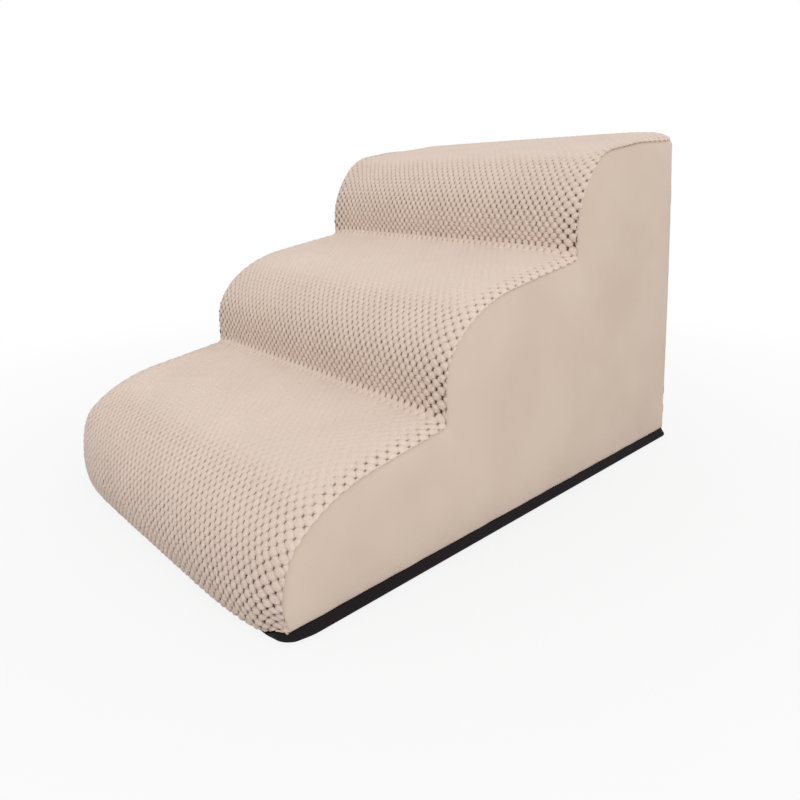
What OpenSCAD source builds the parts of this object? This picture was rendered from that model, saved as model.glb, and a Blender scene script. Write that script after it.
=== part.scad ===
// Three-step pet stairs: one contoured foam block in a zip-off sewn cover.
// Millimetres. +Z is up, +X is the width and +Y runs from the low step to the tall back.
// The origin is on the floor, under the middle of the stairs.

/* [Overall] */
// Width across the two side panels at their fullest
stairs_w = 430; // [380:5:540]
// Depth from the front of the low step to the back at its fullest
stairs_d = 600; // [560:5:640]
// Height of the top step at the back
stairs_h = 385; // [380:5:410]

/* [Steps] */
// Depth of the low step, from its riser to the next riser
low_step_d = 191; // [181:5:206]
// Depth of the middle step, from its riser to the next riser
middle_step_d = 197; // [187:5:217]
// Height of the low step where it meets the middle riser
low_step_h = 133; // [129:1:136]
// Height of the middle step where it meets the top riser
middle_step_h = 259; // [255:1:263]
// Upward slope of each tread towards the back, in degrees
tread_slope = 8.5; // [7:0.5:10]
// How far back each rounded nose reaches, from the low step to the top step
nose_run = [130, 126, 84];
// How far down each rounded nose reaches, from the low step to the top step
nose_fall = [105, 87, 90];
// Radius of the hollow where a tread meets the next riser
hollow_r = 10; // [5:1:12]
// Radius of the top edge at the back
back_edge_r = 15; // [14:1:24]
// Radius of the toe, where the front turns under to the floor
toe_r = 11; // [10.5:0.5:13]
// How far the front corners of the low step are rounded back at the floor
front_wrap = 16; // [0:1:18]
// How tightly the front keeps its width before it rounds back at the corners
wrap_power = 6; // [4:1:10]
// Height at which the rounded front corners fade out
wrap_h = 75; // [60:5:90]

/* [Cover] */
// Thickness of the plush tread cloth with its pile
pile_t = 4.5; // [3:0.5:5]
// Thickness of the smooth side, back and base cloth
cloth_t = 1.5; // [1:0.1:2]
// How far the padded faces stand proud of the seams round them
crown = 5; // [3:0.5:5]
// How tightly a crowned face stays full before it falls to its seam
crown_power = 8; // [4:1:12]
// Length over which a side panel swells to its fullest
swell_run = 150; // [80:10:220]
// Height at which the back panel starts to swell
back_swell_start = 80; // [70:5:120]
// Height over which the back panel swells to its fullest
back_swell_rise = 120; // [60:10:160]

/* [Base] */
// Height of the grip dots under the base
dot_t = 0.8; // [0.5:0.1:1.5]
// Diameter of a grip dot
dot_d = 6; // [4:0.5:8]
// Distance between neighbouring grip dots in a row
dot_pitch = 30; // [20:1:40]
// Bare margin between the outer grip dots and the edge of the base
dot_margin = 14; // [10:1:30]
// Radius of the rounded lower edge of the base
base_edge_r = 5; // [3:0.5:5]

/* [Zip] */
// Height of the middle of the zip above the floor
zip_z = 50; // [42:1:60]
// Clear slot between the two hems along the zip
hem_slot = 14; // [13:0.5:18]
// Width of each zip tape
tape_w = 15; // [12:0.5:20]
// Thickness of the zip tapes
tape_t = 0.6; // [0.4:0.1:0.8]
// Gap between the two tapes behind the coils
tape_split = 1.8; // [1.6:0.1:2.4]
// Width of the two meshed coils
chain_w = 7.4; // [6:0.2:8]
// Thickness of the coils
coil_t = 2.4; // [2:0.1:3]
// Distance from one loop of a coil to the next
coil_pitch = 2; // [1.6:0.1:3]
// Width of one loop of a coil
loop_w = 0.8; // [0.5:0.05:0.9]
// Thickness of the back of a coil, where its loops join
coil_back_t = 1.2; // [0.8:0.1:1.4]
// Distance from the end of a coil stop to the side of the stairs
stop_inset = 22; // [16:1:40]
// Length of the bottom stop and of each top stop
stop_l = 3; // [2:0.5:5]

/* [Slider] */
// Length of the slider along the zip
slider_l = 12; // [11:0.5:15]
// Width of the slider's mouth, where the coils enter
mouth_w = 11.4; // [11:0.1:12]
// Width of the slider's tail, where the closed chain leaves
tail_w = 10; // [9.6:0.1:10.6]
// Thickness of the slider's two plates
plate_t = 1.1; // [0.8:0.1:1.4]
// Thickness of the slider's side rails
rail_t = 1; // [0.7:0.1:1.1]
// Length of the wedge that parts the coils
wedge_l = 5; // [4:0.5:6]
// Width of the wedge that parts the coils
wedge_w = 3.4; // [2.4:0.2:4]
// Length of the bridge that holds the pull
bridge_l = 9; // [8:0.5:10]
// Width of the bridge that holds the pull
bridge_w = 2; // [1.4:0.1:2.6]
// Thickness of the bridge
bridge_t = 0.9; // [0.7:0.1:1.2]

/* [Pull] */
// Length of the pull from its pin to its tip
pull_l = 27; // [20:1:29]
// Width of the pull
pull_w = 8; // [7:0.5:10]
// Thickness of the pull and of its pin
pull_t = 1.4; // [1:0.1:1.6]
// Length of the hole in the tip of the pull
pull_hole_l = 9; // [6:0.5:12]
// Width of the hole in the tip of the pull
pull_hole_w = 3.4; // [2:0.2:4.4]

/* [Hidden] */

// Running clearance, and the gap that keeps neighbouring cloth apart
gap = 0.3;
// Overrun of a cut past the face that it leaves
overrun = 1;
$fn = 48;

// The box of the stuffed cover, at its crowned faces
front_y = -stairs_d / 2;
back_y = stairs_d / 2;
// The seams lie inside the crowned faces
seam_x = stairs_w / 2 - crown;
seam_back_y = back_y - crown;
// Top of the turned-up edge of the base, level with the top of the toe
base_rim_z = dot_t + toe_r;
// Lowest point of the back edge's rounding, where the plush ends at the back
back_seam_z = stairs_h - back_edge_r;

// Risers, and the heights of the treads at their back ends
riser_y = [front_y, front_y + low_step_d, front_y + low_step_d + middle_step_d];
tread_end_h = [low_step_h, middle_step_h];

// Stations along the profile and across the width
nose_cuts = 7;
hollow_cuts = 3;
toe_cuts = 3;
edge_angles = [90, 60, 30, 0];
across_cuts = 10;
swell_rows = 6;
back_row_power = 1.5;
dot_facets = 24;
back_rows = 6;
tread_mid_shares = [1 / 3, 2 / 3];
column_step = 1.5;
knee_share = 0.9;

// Zip: planes counted outwards from the inner face of the back cloth
tape_back_y = seam_back_y - cloth_t - tape_t;
tape_face_y = seam_back_y - cloth_t;
coil_face_y = tape_face_y + coil_t;
plate_under_y = tape_back_y - gap - plate_t;
plate_over_y = coil_face_y + gap;
slider_top_y = plate_over_y + plate_t;
// Room behind the zip for the slider's inner plate
core_back_y = plate_under_y - 2 * gap;
bridge_clear = pull_t + 2 * gap;
bridge_top_y = slider_top_y + bridge_clear + bridge_t;
pin_y = slider_top_y + bridge_clear / 2;
pin_r = pull_t / 2;

// Zip: places along its length. The slider rests at the closed end, on the right.
top_stop_end_x = stairs_w / 2 - stop_inset;
slider_x1 = top_stop_end_x - stop_l - gap;
slider_x0 = slider_x1 - slider_l;
coil_end_x = slider_x1 - wedge_l - gap;
bottom_stop_x = -top_stop_end_x;
coil_start_x = bottom_stop_x + stop_l + gap;
pin_x = (slider_x0 + slider_x1) / 2;
tape_end_x = seam_x - cloth_t - 2 * gap;

// Profile of the steps, as points [y, z] drawn inwards from the crowned face by inset

function tread_normal() = [-sin(tread_slope), cos(tread_slope)];
function edge_centre() = [back_y - back_edge_r, stairs_h - back_edge_r];
// Distance of a tread's line from the origin, along its normal
function tread_reach(i) = i < len(tread_end_h)
    ? tread_normal() * [riser_y[i + 1], tread_end_h[i]]
    : tread_normal() * edge_centre() + back_edge_r;
// Reach of an ellipse along the tread's normal
function nose_reach(a, b) = norm([a * tread_normal()[0], b * tread_normal()[1]]);
function nose_centre(i) =
    let(y = riser_y[i] + nose_run[i], reach = tread_reach(i) - nose_reach(nose_run[i], nose_fall[i]))
    [y, (reach - tread_normal()[0] * y) / tread_normal()[1]];
function nose_points(i, inset) =
    let(a = nose_run[i] - inset, b = nose_fall[i] - inset,
        last = atan2(b * tread_normal()[1], a * tread_normal()[0]))
    [for (k = [0:nose_cuts]) let(t = 180 + (last - 180) * k / nose_cuts)
        nose_centre(i) + [a * cos(t), b * sin(t)]];
function hollow_centre(i) =
    let(y = riser_y[i + 1] - hollow_r)
    [y, (tread_reach(i) + hollow_r - tread_normal()[0] * y) / tread_normal()[1]];
function arc_points(centre, r, first, last, cuts) =
    [for (k = [0:cuts]) let(t = first + (last - first) * k / cuts) centre + r * [cos(t), sin(t)]];
function hollow_points(i, inset) =
    arc_points(hollow_centre(i), hollow_r + inset, tread_slope - 90, 0, hollow_cuts);
function edge_points(inset) =
    [for (t = concat([90 + tread_slope], edge_angles))
        edge_centre() + (back_edge_r - inset) * [cos(t), sin(t)]];
function toe_points(inset) =
    arc_points([front_y + toe_r, dot_t + toe_r], toe_r - inset, 270, 180, toe_cuts);
function between(a, b) = [for (share = tread_mid_shares) a + share * (b - a)];
function step_points(i, inset) =
    let(nose = nose_points(i, inset),
        end = i < len(tread_end_h) ? hollow_points(i, inset) : edge_points(inset))
    concat(nose, between(nose[nose_cuts], end[0]), end);
function line_points(inset) =
    concat(toe_points(inset), [for (i = [0:len(riser_y) - 1]) each step_points(i, inset)]);
function ease(t) = let(u = max(0, min(1, t))) u * u * (3 - 2 * u);
function crown_fall(share) = crown * pow(abs(share), crown_power);
// How far the rounded front corners set a point back, at a share of the half width and a height
function corner_back(share, z) =
    front_wrap * pow(abs(share), wrap_power) * (1 - ease(z / wrap_h));
// Profile at a share of the half width, drawn inwards from the crowned face by a depth
function profile(share, depth) =
    [for (p = line_points(crown_fall(share) + depth)) [p[0] + corner_back(share, p[1]), p[1]]];

// A column runs from each profile point at 45 degrees down to the base line or the back line
function landing(p, line_z, line_y) =
    let(drop = p[1] - line_z) p[0] + drop <= line_y ? [p[0] + drop, line_z]
        : [line_y, p[1] - (line_y - p[0])];
// Landings keep their order: they lie column_step apart along the toe and the back edge
function landings(points, line_z, line_y) =
    let(n = len(points), raw = [for (p = points) landing(p, line_z, line_y)])
    [for (k = [0:n - 1])
        points[k][1] <= base_rim_z + gap ? [points[0][0] + column_step * (k + 1), line_z]
        : raw[k][1] <= line_z ? raw[k]
        : raw[k - 1][1] <= line_z ? [line_y, line_z]
        : [line_y, min(raw[k][1], points[n - 1][1] - column_step * (n - k))]];

// Stations across the width, as shares from -1 to 1 that close up towards the seams
function across() = [for (k = [0:across_cuts]) sin(90 * (2 * k / across_cuts - 1))];
// Swell of a side panel at a share t of a column of a given length
function swell(t, length) =
    crown * (1 - pow(abs(2 * t - 1), 3)) * sin(90 * min(1, length / swell_run));
function back_swell(z) = ease((z - back_swell_start) / back_swell_rise);

// Faces of a sheet made of two like grids of rows, the outer one first in the point list

function grid_faces(rows, cols, first, turned) =
    [for (r = [0:rows - 2], c = [0:cols - 2])
        let(a = first + r * cols + c, b = a + 1, e = a + cols, f = e + 1)
        each turned ? [[a, e, f], [a, f, b]] : [[a, f, e], [a, b, f]]];
function rim_faces(loop, shift) =
    [for (k = [0:len(loop) - 1])
        let(a = loop[k], b = loop[(k + 1) % len(loop)])
        each [[a, b + shift, b], [a, a + shift, b + shift]]];
function rim_loop(rows, cols) = concat(
    [for (c = [0:cols - 1]) c],
    [for (r = [1:rows - 1]) r * cols + cols - 1],
    [for (c = [cols - 2:-1:0]) (rows - 1) * cols + c],
    [for (r = [rows - 2:-1:1]) r * cols]);

// Closed sheet between an outer and an inner grid of points, given as lists of rows
module sheet(outer, inner) {
    rows = len(outer);
    cols = len(outer[0]);
    shift = rows * cols;
    polyhedron(
        points = concat([for (row = outer) each row], [for (row = inner) each row]),
        faces = concat(
            grid_faces(rows, cols, 0, false),
            grid_faces(rows, cols, shift, true),
            rim_faces(rim_loop(rows, cols), shift)));
}

// Flat shape in the x and z plane, standing from y0 to y1
module slab_y(y0, y1) {
    translate([0, y1, 0]) rotate([90, 0, 0]) linear_extrude(y1 - y0) children();
}

// Flat shape in the y and z plane, standing from x0 to x1
module slab_x(x0, x1) {
    translate([x0, 0, 0]) rotate([90, 0, 90]) linear_extrude(x1 - x0) children();
}

// Foam block

// One cross-section of the block, up the steps and back along the back and the base
function core_ring(share) =
    let(points = profile(share, pile_t + gap),
        feet = landings(points, dot_t + cloth_t + gap, core_back_y), n = len(points))
    concat(points, [for (k = [n - 1:-1:0]) feet[k]]);
function core_half_w() = seam_x - cloth_t - 2 * gap;
// The ends of the block ease in towards the rounded edges of the base
function core_foot_w() = core_half_w() - base_edge_r + cloth_t;
// Share of a column at its knee, level with the rim of the base: the ends swell only above it
function core_knee(top, foot) =
    top[1] <= base_rim_z + gap ? 1 / 2
        : foot[1] >= base_rim_z ? knee_share
        : (top[1] - base_rim_z) / (top[1] - foot[1]);
// Row of points on the right end, at a share of the way from the top to the knee of each column
function core_end_row(share) =
    let(ring = core_ring(1), n = len(ring) / 2)
    [for (k = [0:n - 1])
        let(top = ring[k], foot = ring[2 * n - 1 - k], knee = core_knee(top, foot),
            p = top + share * knee * (foot - top),
            puff = top[1] <= base_rim_z + gap ? 0 : swell(share, knee * norm(foot - top)))
        [core_half_w() + puff, p[0], p[1]]];
function mirrored(points) = [for (p = points) [-p[0], p[1], p[2]]];
// Point numbers of a column on an end: its top, its swollen middle, its knee and its foot
function end_column(n, ring0, middle0, k) =
    [ring0 + k, middle0 + k, middle0 + n + k, ring0 + 2 * n - 1 - k];
function end_faces(n, ring0, middle0) =
    [for (k = [0:n - 2])
        let(a = end_column(n, ring0, middle0, k), b = end_column(n, ring0, middle0, k + 1))
        each [for (r = [0:2]) each [[a[r], b[r + 1], a[r + 1]], [a[r], b[r], b[r + 1]]]]];
// Slivers between the straight first and last columns of the skin and those of an end
function end_slivers(n, ring0, middle0) =
    let(a = end_column(n, ring0, middle0, 0), b = end_column(n, ring0, middle0, n - 1))
    [[a[0], a[1], a[3]], [a[1], a[2], a[3]], [b[0], b[3], b[1]], [b[1], b[3], b[2]]];

module foam_core() {
    shares = across();
    ring_n = len(core_ring(0));
    n = ring_n / 2;
    rings = [for (s = shares)
        let(ring = core_ring(s))
        [for (k = [0:ring_n - 1])
            [s * (k < n ? core_half_w() : core_foot_w()), ring[k][0], ring[k][1]]]];
    right0 = (len(shares) - 1) * ring_n;
    end_right = len(shares) * ring_n;
    end_left = end_right + 2 * n;
    end_points = concat(core_end_row(1 / 2), core_end_row(1));
    skin = [for (j = [0:len(shares) - 2], k = [0:ring_n - 1])
        let(a = j * ring_n + k, b = j * ring_n + (k + 1) % ring_n, e = a + ring_n, f = b + ring_n)
        each [[a, f, e], [a, b, f]]];
    right = concat(end_faces(n, right0, end_right), end_slivers(n, right0, end_right));
    left = concat(end_faces(n, 0, end_left), end_slivers(n, 0, end_left));
    color("khaki") polyhedron(
        points = concat([for (ring = rings) each ring], end_points, mirrored(end_points)),
        faces = concat(skin, right, [for (f = left) [f[2], f[1], f[0]]]));
}

// Plush panel over the treads and risers

module tread_panel() {
    outer = [for (s = across())
        [for (p = profile(s, 0)) [s * (seam_x - gap), p[0], p[1]]]];
    inner = [for (s = across())
        [for (p = profile(s, pile_t)) [s * (seam_x - gap - cloth_t), p[0], p[1]]]];
    color("rosybrown") sheet(outer, inner);
}

// Smooth side panels

// Rows of the panel from the step profile down to the base and back lines
function side_rows(depth, line_z, line_y, x) =
    let(all = profile(1, depth), points = [for (k = [toe_cuts:len(all) - 1]) all[k]],
        feet = landings(points, line_z, line_y))
    [for (r = [0:swell_rows])
        [for (k = [0:len(points) - 1])
            let(t = r / swell_rows, p = points[k] + t * (feet[k] - points[k]))
            [x + swell(t, norm(feet[k] - points[k])), p[0], p[1]]]];

module side_panel() {
    sheet(
        side_rows(0, base_rim_z, seam_back_y, seam_x),
        side_rows(pile_t, base_rim_z, seam_back_y - cloth_t, seam_x - cloth_t));
}

module side_panel_right() {
    color("tan") side_panel();
}

module side_panel_left() {
    color("tan") mirror([1, 0, 0]) side_panel();
}

// Smooth back: a tall panel over the zip and a low strip under it

function back_rows_z() =
    let(z0 = zip_z + hem_slot / 2, z1 = back_seam_z - gap)
    [for (r = [0:back_rows]) z0 + (z1 - z0) * pow(r / back_rows, back_row_power)];
function back_grid(half_w, y) =
    [for (z = back_rows_z())
        [for (s = across()) [s * half_w, y + (crown - crown_fall(s)) * back_swell(z), z]]];

module back_panel() {
    color("tan") sheet(
        back_grid(seam_x - gap, seam_back_y),
        back_grid(seam_x - gap - cloth_t, seam_back_y - cloth_t));
}

module back_strip() {
    half_w = seam_x - gap;
    strip_z0 = base_rim_z + gap;
    color("tan") translate([0, 0, strip_z0]) linear_extrude(zip_z - hem_slot / 2 - strip_z0)
        polygon([
            [-half_w, seam_back_y], [half_w, seam_back_y],
            [half_w - cloth_t, seam_back_y - cloth_t], [cloth_t - half_w, seam_back_y - cloth_t]]);
}

// Black base with its turned-up edge and grip dots

// Rectangle on the line z = 0 with rounded lower corners, centred
module rounded_foot(w, h, r) {
    translate([-w / 2, r]) square([w, h - r]);
    translate([r - w / 2, 0]) square([w - 2 * r, r]);
    for (side = [-1, 1]) translate([side * (w / 2 - r), r]) circle(r);
}

// Side outline of the base up to top_z, with a rounded lower corner at the back
module base_side_outline(inset, top_z) {
    y0 = front_y + toe_r + gap;
    y1 = seam_back_y - inset;
    r = base_edge_r - inset;
    z0 = dot_t + inset;
    translate([y0, z0 + r]) square([y1 - y0, top_z - z0 - r]);
    translate([y0, z0]) square([y1 - y0 - r, r]);
    translate([y1 - r, z0 + r]) circle(r);
}

// Block that the base wraps, drawn inwards by inset
module base_block(inset, top_z) {
    intersection() {
        slab_y(front_y, back_y)
            translate([0, dot_t + inset])
                rounded_foot(2 * (seam_x - inset), top_z - dot_t - inset, base_edge_r - inset);
        slab_x(-seam_x, seam_x) base_side_outline(inset, top_z);
    }
}

// Plan of the base, its front corners rounded back behind the toe of the plush
module base_plan() {
    front = [for (s = across()) [s * seam_x, front_y + toe_r + gap + corner_back(s, 0)]];
    polygon(concat(front, [[seam_x, back_y], [-seam_x, back_y]]));
}

module grip_dots() {
    row_pitch = dot_pitch * sin(60);
    x_room = seam_x - dot_margin - dot_d / 2;
    y0 = front_y + toe_r + dot_margin;
    y1 = seam_back_y - dot_margin;
    rows = floor((y1 - y0) / row_pitch);
    for (r = [0:rows]) {
        shift = r % 2 == 0 ? 0 : dot_pitch / 2;
        n = floor((x_room - shift) / dot_pitch);
        for (k = [-n - (shift > 0 ? 1 : 0):n])
            translate([k * dot_pitch + shift, (y0 + y1 - rows * row_pitch) / 2 + r * row_pitch, 0])
                cylinder(h = dot_t + cloth_t / 2, d = dot_d, $fn = dot_facets);
    }
}

module base_panel() {
    color("dimgray") union() {
        intersection() {
            difference() {
                base_block(0, base_rim_z);
                base_block(cloth_t, base_rim_z + overrun);
            }
            linear_extrude(base_rim_z) base_plan();
        }
        grip_dots();
    }
}

// Zip tapes, caught in the side seams at both ends

module zip_tape() {
    translate([-tape_end_x, tape_back_y, tape_split / 2]) cube([2 * tape_end_x, tape_t, tape_w]);
}

module zip_tape_upper() {
    color("tan") translate([0, 0, zip_z]) zip_tape();
}

module zip_tape_lower() {
    color("tan") translate([0, 0, zip_z]) mirror([0, 0, 1]) zip_tape();
}

// Zip coils: each is a row of loops on a back, and the loops of the two rows mesh

// Outline of the upper coil in x and z about the middle of the zip, its loops pointing down
function coil_outline(first_x) =
    let(loops = floor((coil_end_x - first_x - loop_w) / coil_pitch),
        root_z = chain_w / 2 - coil_back_t, tip_z = -root_z + gap)
    concat(
        [[coil_end_x, chain_w / 2], [coil_start_x, chain_w / 2], [coil_start_x, root_z]],
        [for (k = [0:loops]) let(x = first_x + k * coil_pitch)
            each [[x, root_z], [x, tip_z], [x + loop_w, tip_z], [x + loop_w, root_z]]],
        [[coil_end_x, root_z]]);

module zip_coil_upper() {
    color("linen") slab_y(tape_face_y, coil_face_y)
        translate([0, zip_z]) polygon(coil_outline(coil_start_x + loop_w / 2));
}

module zip_coil_lower() {
    color("linen") slab_y(tape_face_y, coil_face_y)
        translate([0, zip_z]) mirror([0, 1])
            polygon(coil_outline(coil_start_x + loop_w / 2 + coil_pitch / 2));
}

// Zip stops

module zip_top_stops() {
    stop_w = (chain_w - tape_split) / 2;
    color("silver") for (side = [-1, 1])
        translate([slider_x1 + gap, tape_face_y, zip_z + side * (tape_split + stop_w) / 2 - stop_w / 2])
            cube([stop_l, coil_t - gap, stop_w]);
}

module zip_bottom_stop() {
    color("silver") translate([bottom_stop_x, tape_face_y, zip_z - chain_w / 2])
        cube([stop_l, coil_t, chain_w]);
}

// Zip slider

// Outline of the slider's plates, with the tail at x = 0 and the mouth at x = slider_l
module slider_outline() {
    flare_x = slider_l - wedge_l;
    corner_r = rail_t;
    polygon([
        [0, -tail_w / 2 + corner_r], [0, tail_w / 2 - corner_r],
        [corner_r, tail_w / 2], [flare_x, tail_w / 2], [slider_l - corner_r, mouth_w / 2],
        [slider_l, mouth_w / 2 - corner_r], [slider_l, -mouth_w / 2 + corner_r],
        [slider_l - corner_r, -mouth_w / 2], [flare_x, -tail_w / 2], [corner_r, -tail_w / 2]]);
}

module slider_rails() {
    difference() {
        slider_outline();
        translate([-overrun, -chain_w / 2 - gap]) square([slider_l + 2 * overrun, chain_w + 2 * gap]);
    }
}

// The wedge is a diamond between the coils and a thin web between the tapes
module slider_wedge() {
    polygon([
        [slider_l - wedge_l, 0], [slider_l - wedge_l / 2, wedge_w / 2],
        [slider_l - rail_t, 0], [slider_l - wedge_l / 2, -wedge_w / 2]]);
}

module slider_web() {
    web_w = tape_split - 2 * gap;
    translate([slider_l - wedge_l / 2 - wedge_w / 2, -web_w / 2]) square([wedge_w - rail_t / 2, web_w]);
}

module bridge_outline() {
    r = bridge_t;
    difference() {
        union() {
            translate([-bridge_l / 2, 0]) square([bridge_l, bridge_top_y - slider_top_y - r]);
            translate([r - bridge_l / 2, 0]) square([bridge_l - 2 * r, bridge_top_y - slider_top_y]);
            for (side = [-1, 1])
                translate([side * (bridge_l / 2 - r), bridge_top_y - slider_top_y - r]) circle(r);
        }
        translate([bridge_t - bridge_l / 2, 0]) square([bridge_l - 2 * bridge_t, bridge_clear]);
    }
}

module zip_slider() {
    color("silver") union() {
        translate([slider_x0, 0, zip_z]) {
            slab_y(plate_over_y, slider_top_y) slider_outline();
            slab_y(plate_under_y, plate_under_y + plate_t) slider_outline();
            slab_y(tape_face_y + gap, plate_over_y + plate_t / 2) slider_rails();
            slab_y(tape_face_y + gap, plate_over_y + plate_t / 2) slider_wedge();
            slab_y(plate_under_y + plate_t / 2, plate_over_y + plate_t / 2) slider_web();
        }
        // the bridge springs from both ends of the outer plate
        translate([pin_x, slider_top_y, zip_z - bridge_w / 2]) linear_extrude(bridge_w)
            bridge_outline();
    }
}

// Pull: a tab with two arms and a round pin through the bridge

module pull_outline() {
    arm_end = bridge_l / 2 + gap;
    tip_r = pull_w / 2;
    arm_w = (pull_w - bridge_w) / 2 - gap;
    difference() {
        union() {
            translate([-pull_l + tip_r, -tip_r]) square([pull_l - tip_r, pull_w]);
            translate([-pull_l + tip_r, 0]) circle(tip_r);
        }
        translate([-arm_end, -pull_w / 2 + arm_w]) square([arm_end + overrun, pull_w - 2 * arm_w]);
        translate([-pull_l + tip_r, -pull_hole_w / 2])
            square([pull_hole_l - pull_hole_w, pull_hole_w]);
        for (end = [0, 1])
            translate([-pull_l + tip_r + end * (pull_hole_l - pull_hole_w), 0])
                circle(pull_hole_w / 2);
    }
}

module zip_pull() {
    color("silver") translate([pin_x, pin_y, zip_z]) union() {
        slab_y(-pull_t / 2, pull_t / 2) pull_outline();
        translate([0, 0, -pull_w / 2]) cylinder(h = pull_w, r = pin_r);
    }
}

foam_core();
tread_panel();
side_panel_right();
side_panel_left();
back_panel();
back_strip();
base_panel();
zip_tape_upper();
zip_tape_lower();
zip_coil_upper();
zip_coil_lower();
zip_top_stops();
zip_bottom_stop();
zip_slider();
zip_pull();
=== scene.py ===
"""Looks of the three-step pet stairs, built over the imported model.

A contour-cut foam block stands in a sewn cover: one strip of bubble plush runs over the steps,
brushed cloth closes the sides and the back, and a black grip cloth is turned up a little round
the base. A coil zip crosses the back. All lengths are metres, and angles are radians unless a
name says degrees.
"""

import logging
import math
from dataclasses import dataclass, field
from enum import Enum
from typing import Any, Callable, Sequence

import bmesh
import bpy
import numpy as np
from mathutils import Matrix, Vector


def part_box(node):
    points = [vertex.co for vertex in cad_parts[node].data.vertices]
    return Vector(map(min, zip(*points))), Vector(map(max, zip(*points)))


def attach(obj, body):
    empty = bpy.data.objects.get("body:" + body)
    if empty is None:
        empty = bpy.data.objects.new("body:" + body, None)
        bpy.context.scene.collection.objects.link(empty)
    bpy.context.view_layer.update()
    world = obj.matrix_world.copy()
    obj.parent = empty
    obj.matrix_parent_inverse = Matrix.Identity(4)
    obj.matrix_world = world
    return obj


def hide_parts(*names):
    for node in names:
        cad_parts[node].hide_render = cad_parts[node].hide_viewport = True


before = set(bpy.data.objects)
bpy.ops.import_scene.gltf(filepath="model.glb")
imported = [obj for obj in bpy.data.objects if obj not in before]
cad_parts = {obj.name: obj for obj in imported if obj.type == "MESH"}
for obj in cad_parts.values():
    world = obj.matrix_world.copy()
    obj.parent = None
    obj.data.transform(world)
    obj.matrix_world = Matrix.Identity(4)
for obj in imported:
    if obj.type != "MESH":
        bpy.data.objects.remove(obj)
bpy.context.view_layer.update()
LOG = logging.getLogger("pet_stairs")

FRAME_SIDE_PX = 800
TINY = 1e-6
LEAST_LENGTH = 1e-9
FLAT_ANGLE = math.radians(1.0)
BEVEL_ANGLE = math.radians(28)
SHARP_ANGLE = math.radians(40)
PHASE_START = 1.7
PHASE_STEP = 2.3


# Numbers and points


def srgb(red: int, green: int, blue: int) -> tuple[float, float, float, float]:
    """Turns a screen colour into a linear colour.

    Args:
        red: Red channel, 0 to 255.
        green: Green channel, 0 to 255.
        blue: Blue channel, 0 to 255.

    Returns:
        The linear colour, with an alpha of 1.
    """
    def linear(channel: int) -> float:
        """One channel in linear light."""
        share = channel / 255
        return share / 12.92 if share <= 0.04045 else ((share + 0.055) / 1.055) ** 2.4
    return (linear(red), linear(green), linear(blue), 1.0)


def ease(share: np.ndarray | float) -> np.ndarray:
    """Eases from 0 to 1 without a kink at either end."""
    held = np.clip(share, 0.0, 1.0)
    return held * held * (3 - 2 * held)


def arc_lengths(points: np.ndarray) -> np.ndarray:
    """Length along a line of points, up to each of them."""
    steps = np.linalg.norm(np.diff(points, axis=0), axis=1)
    return np.concatenate([[0.0], np.cumsum(steps)])


@dataclass(frozen=True)
class Ripple:
    """An uneven wave in cloth, the same at each run."""

    height: float
    lengths: tuple[float, ...]
    seed: float

    def at(self, place: np.ndarray) -> np.ndarray:
        """The wave at some places, between about -1 and 1.

        Args:
            place: Where along the cloth the wave is wanted.

        Returns:
            A number for each place, which the height is still to be multiplied with.
        """
        waves = [np.sin(2 * np.pi * place / w + self.seed * (k + PHASE_START) * PHASE_STEP)
                 for k, w in enumerate(self.lengths)]
        return np.sum(waves, axis=0) / len(waves)


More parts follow.
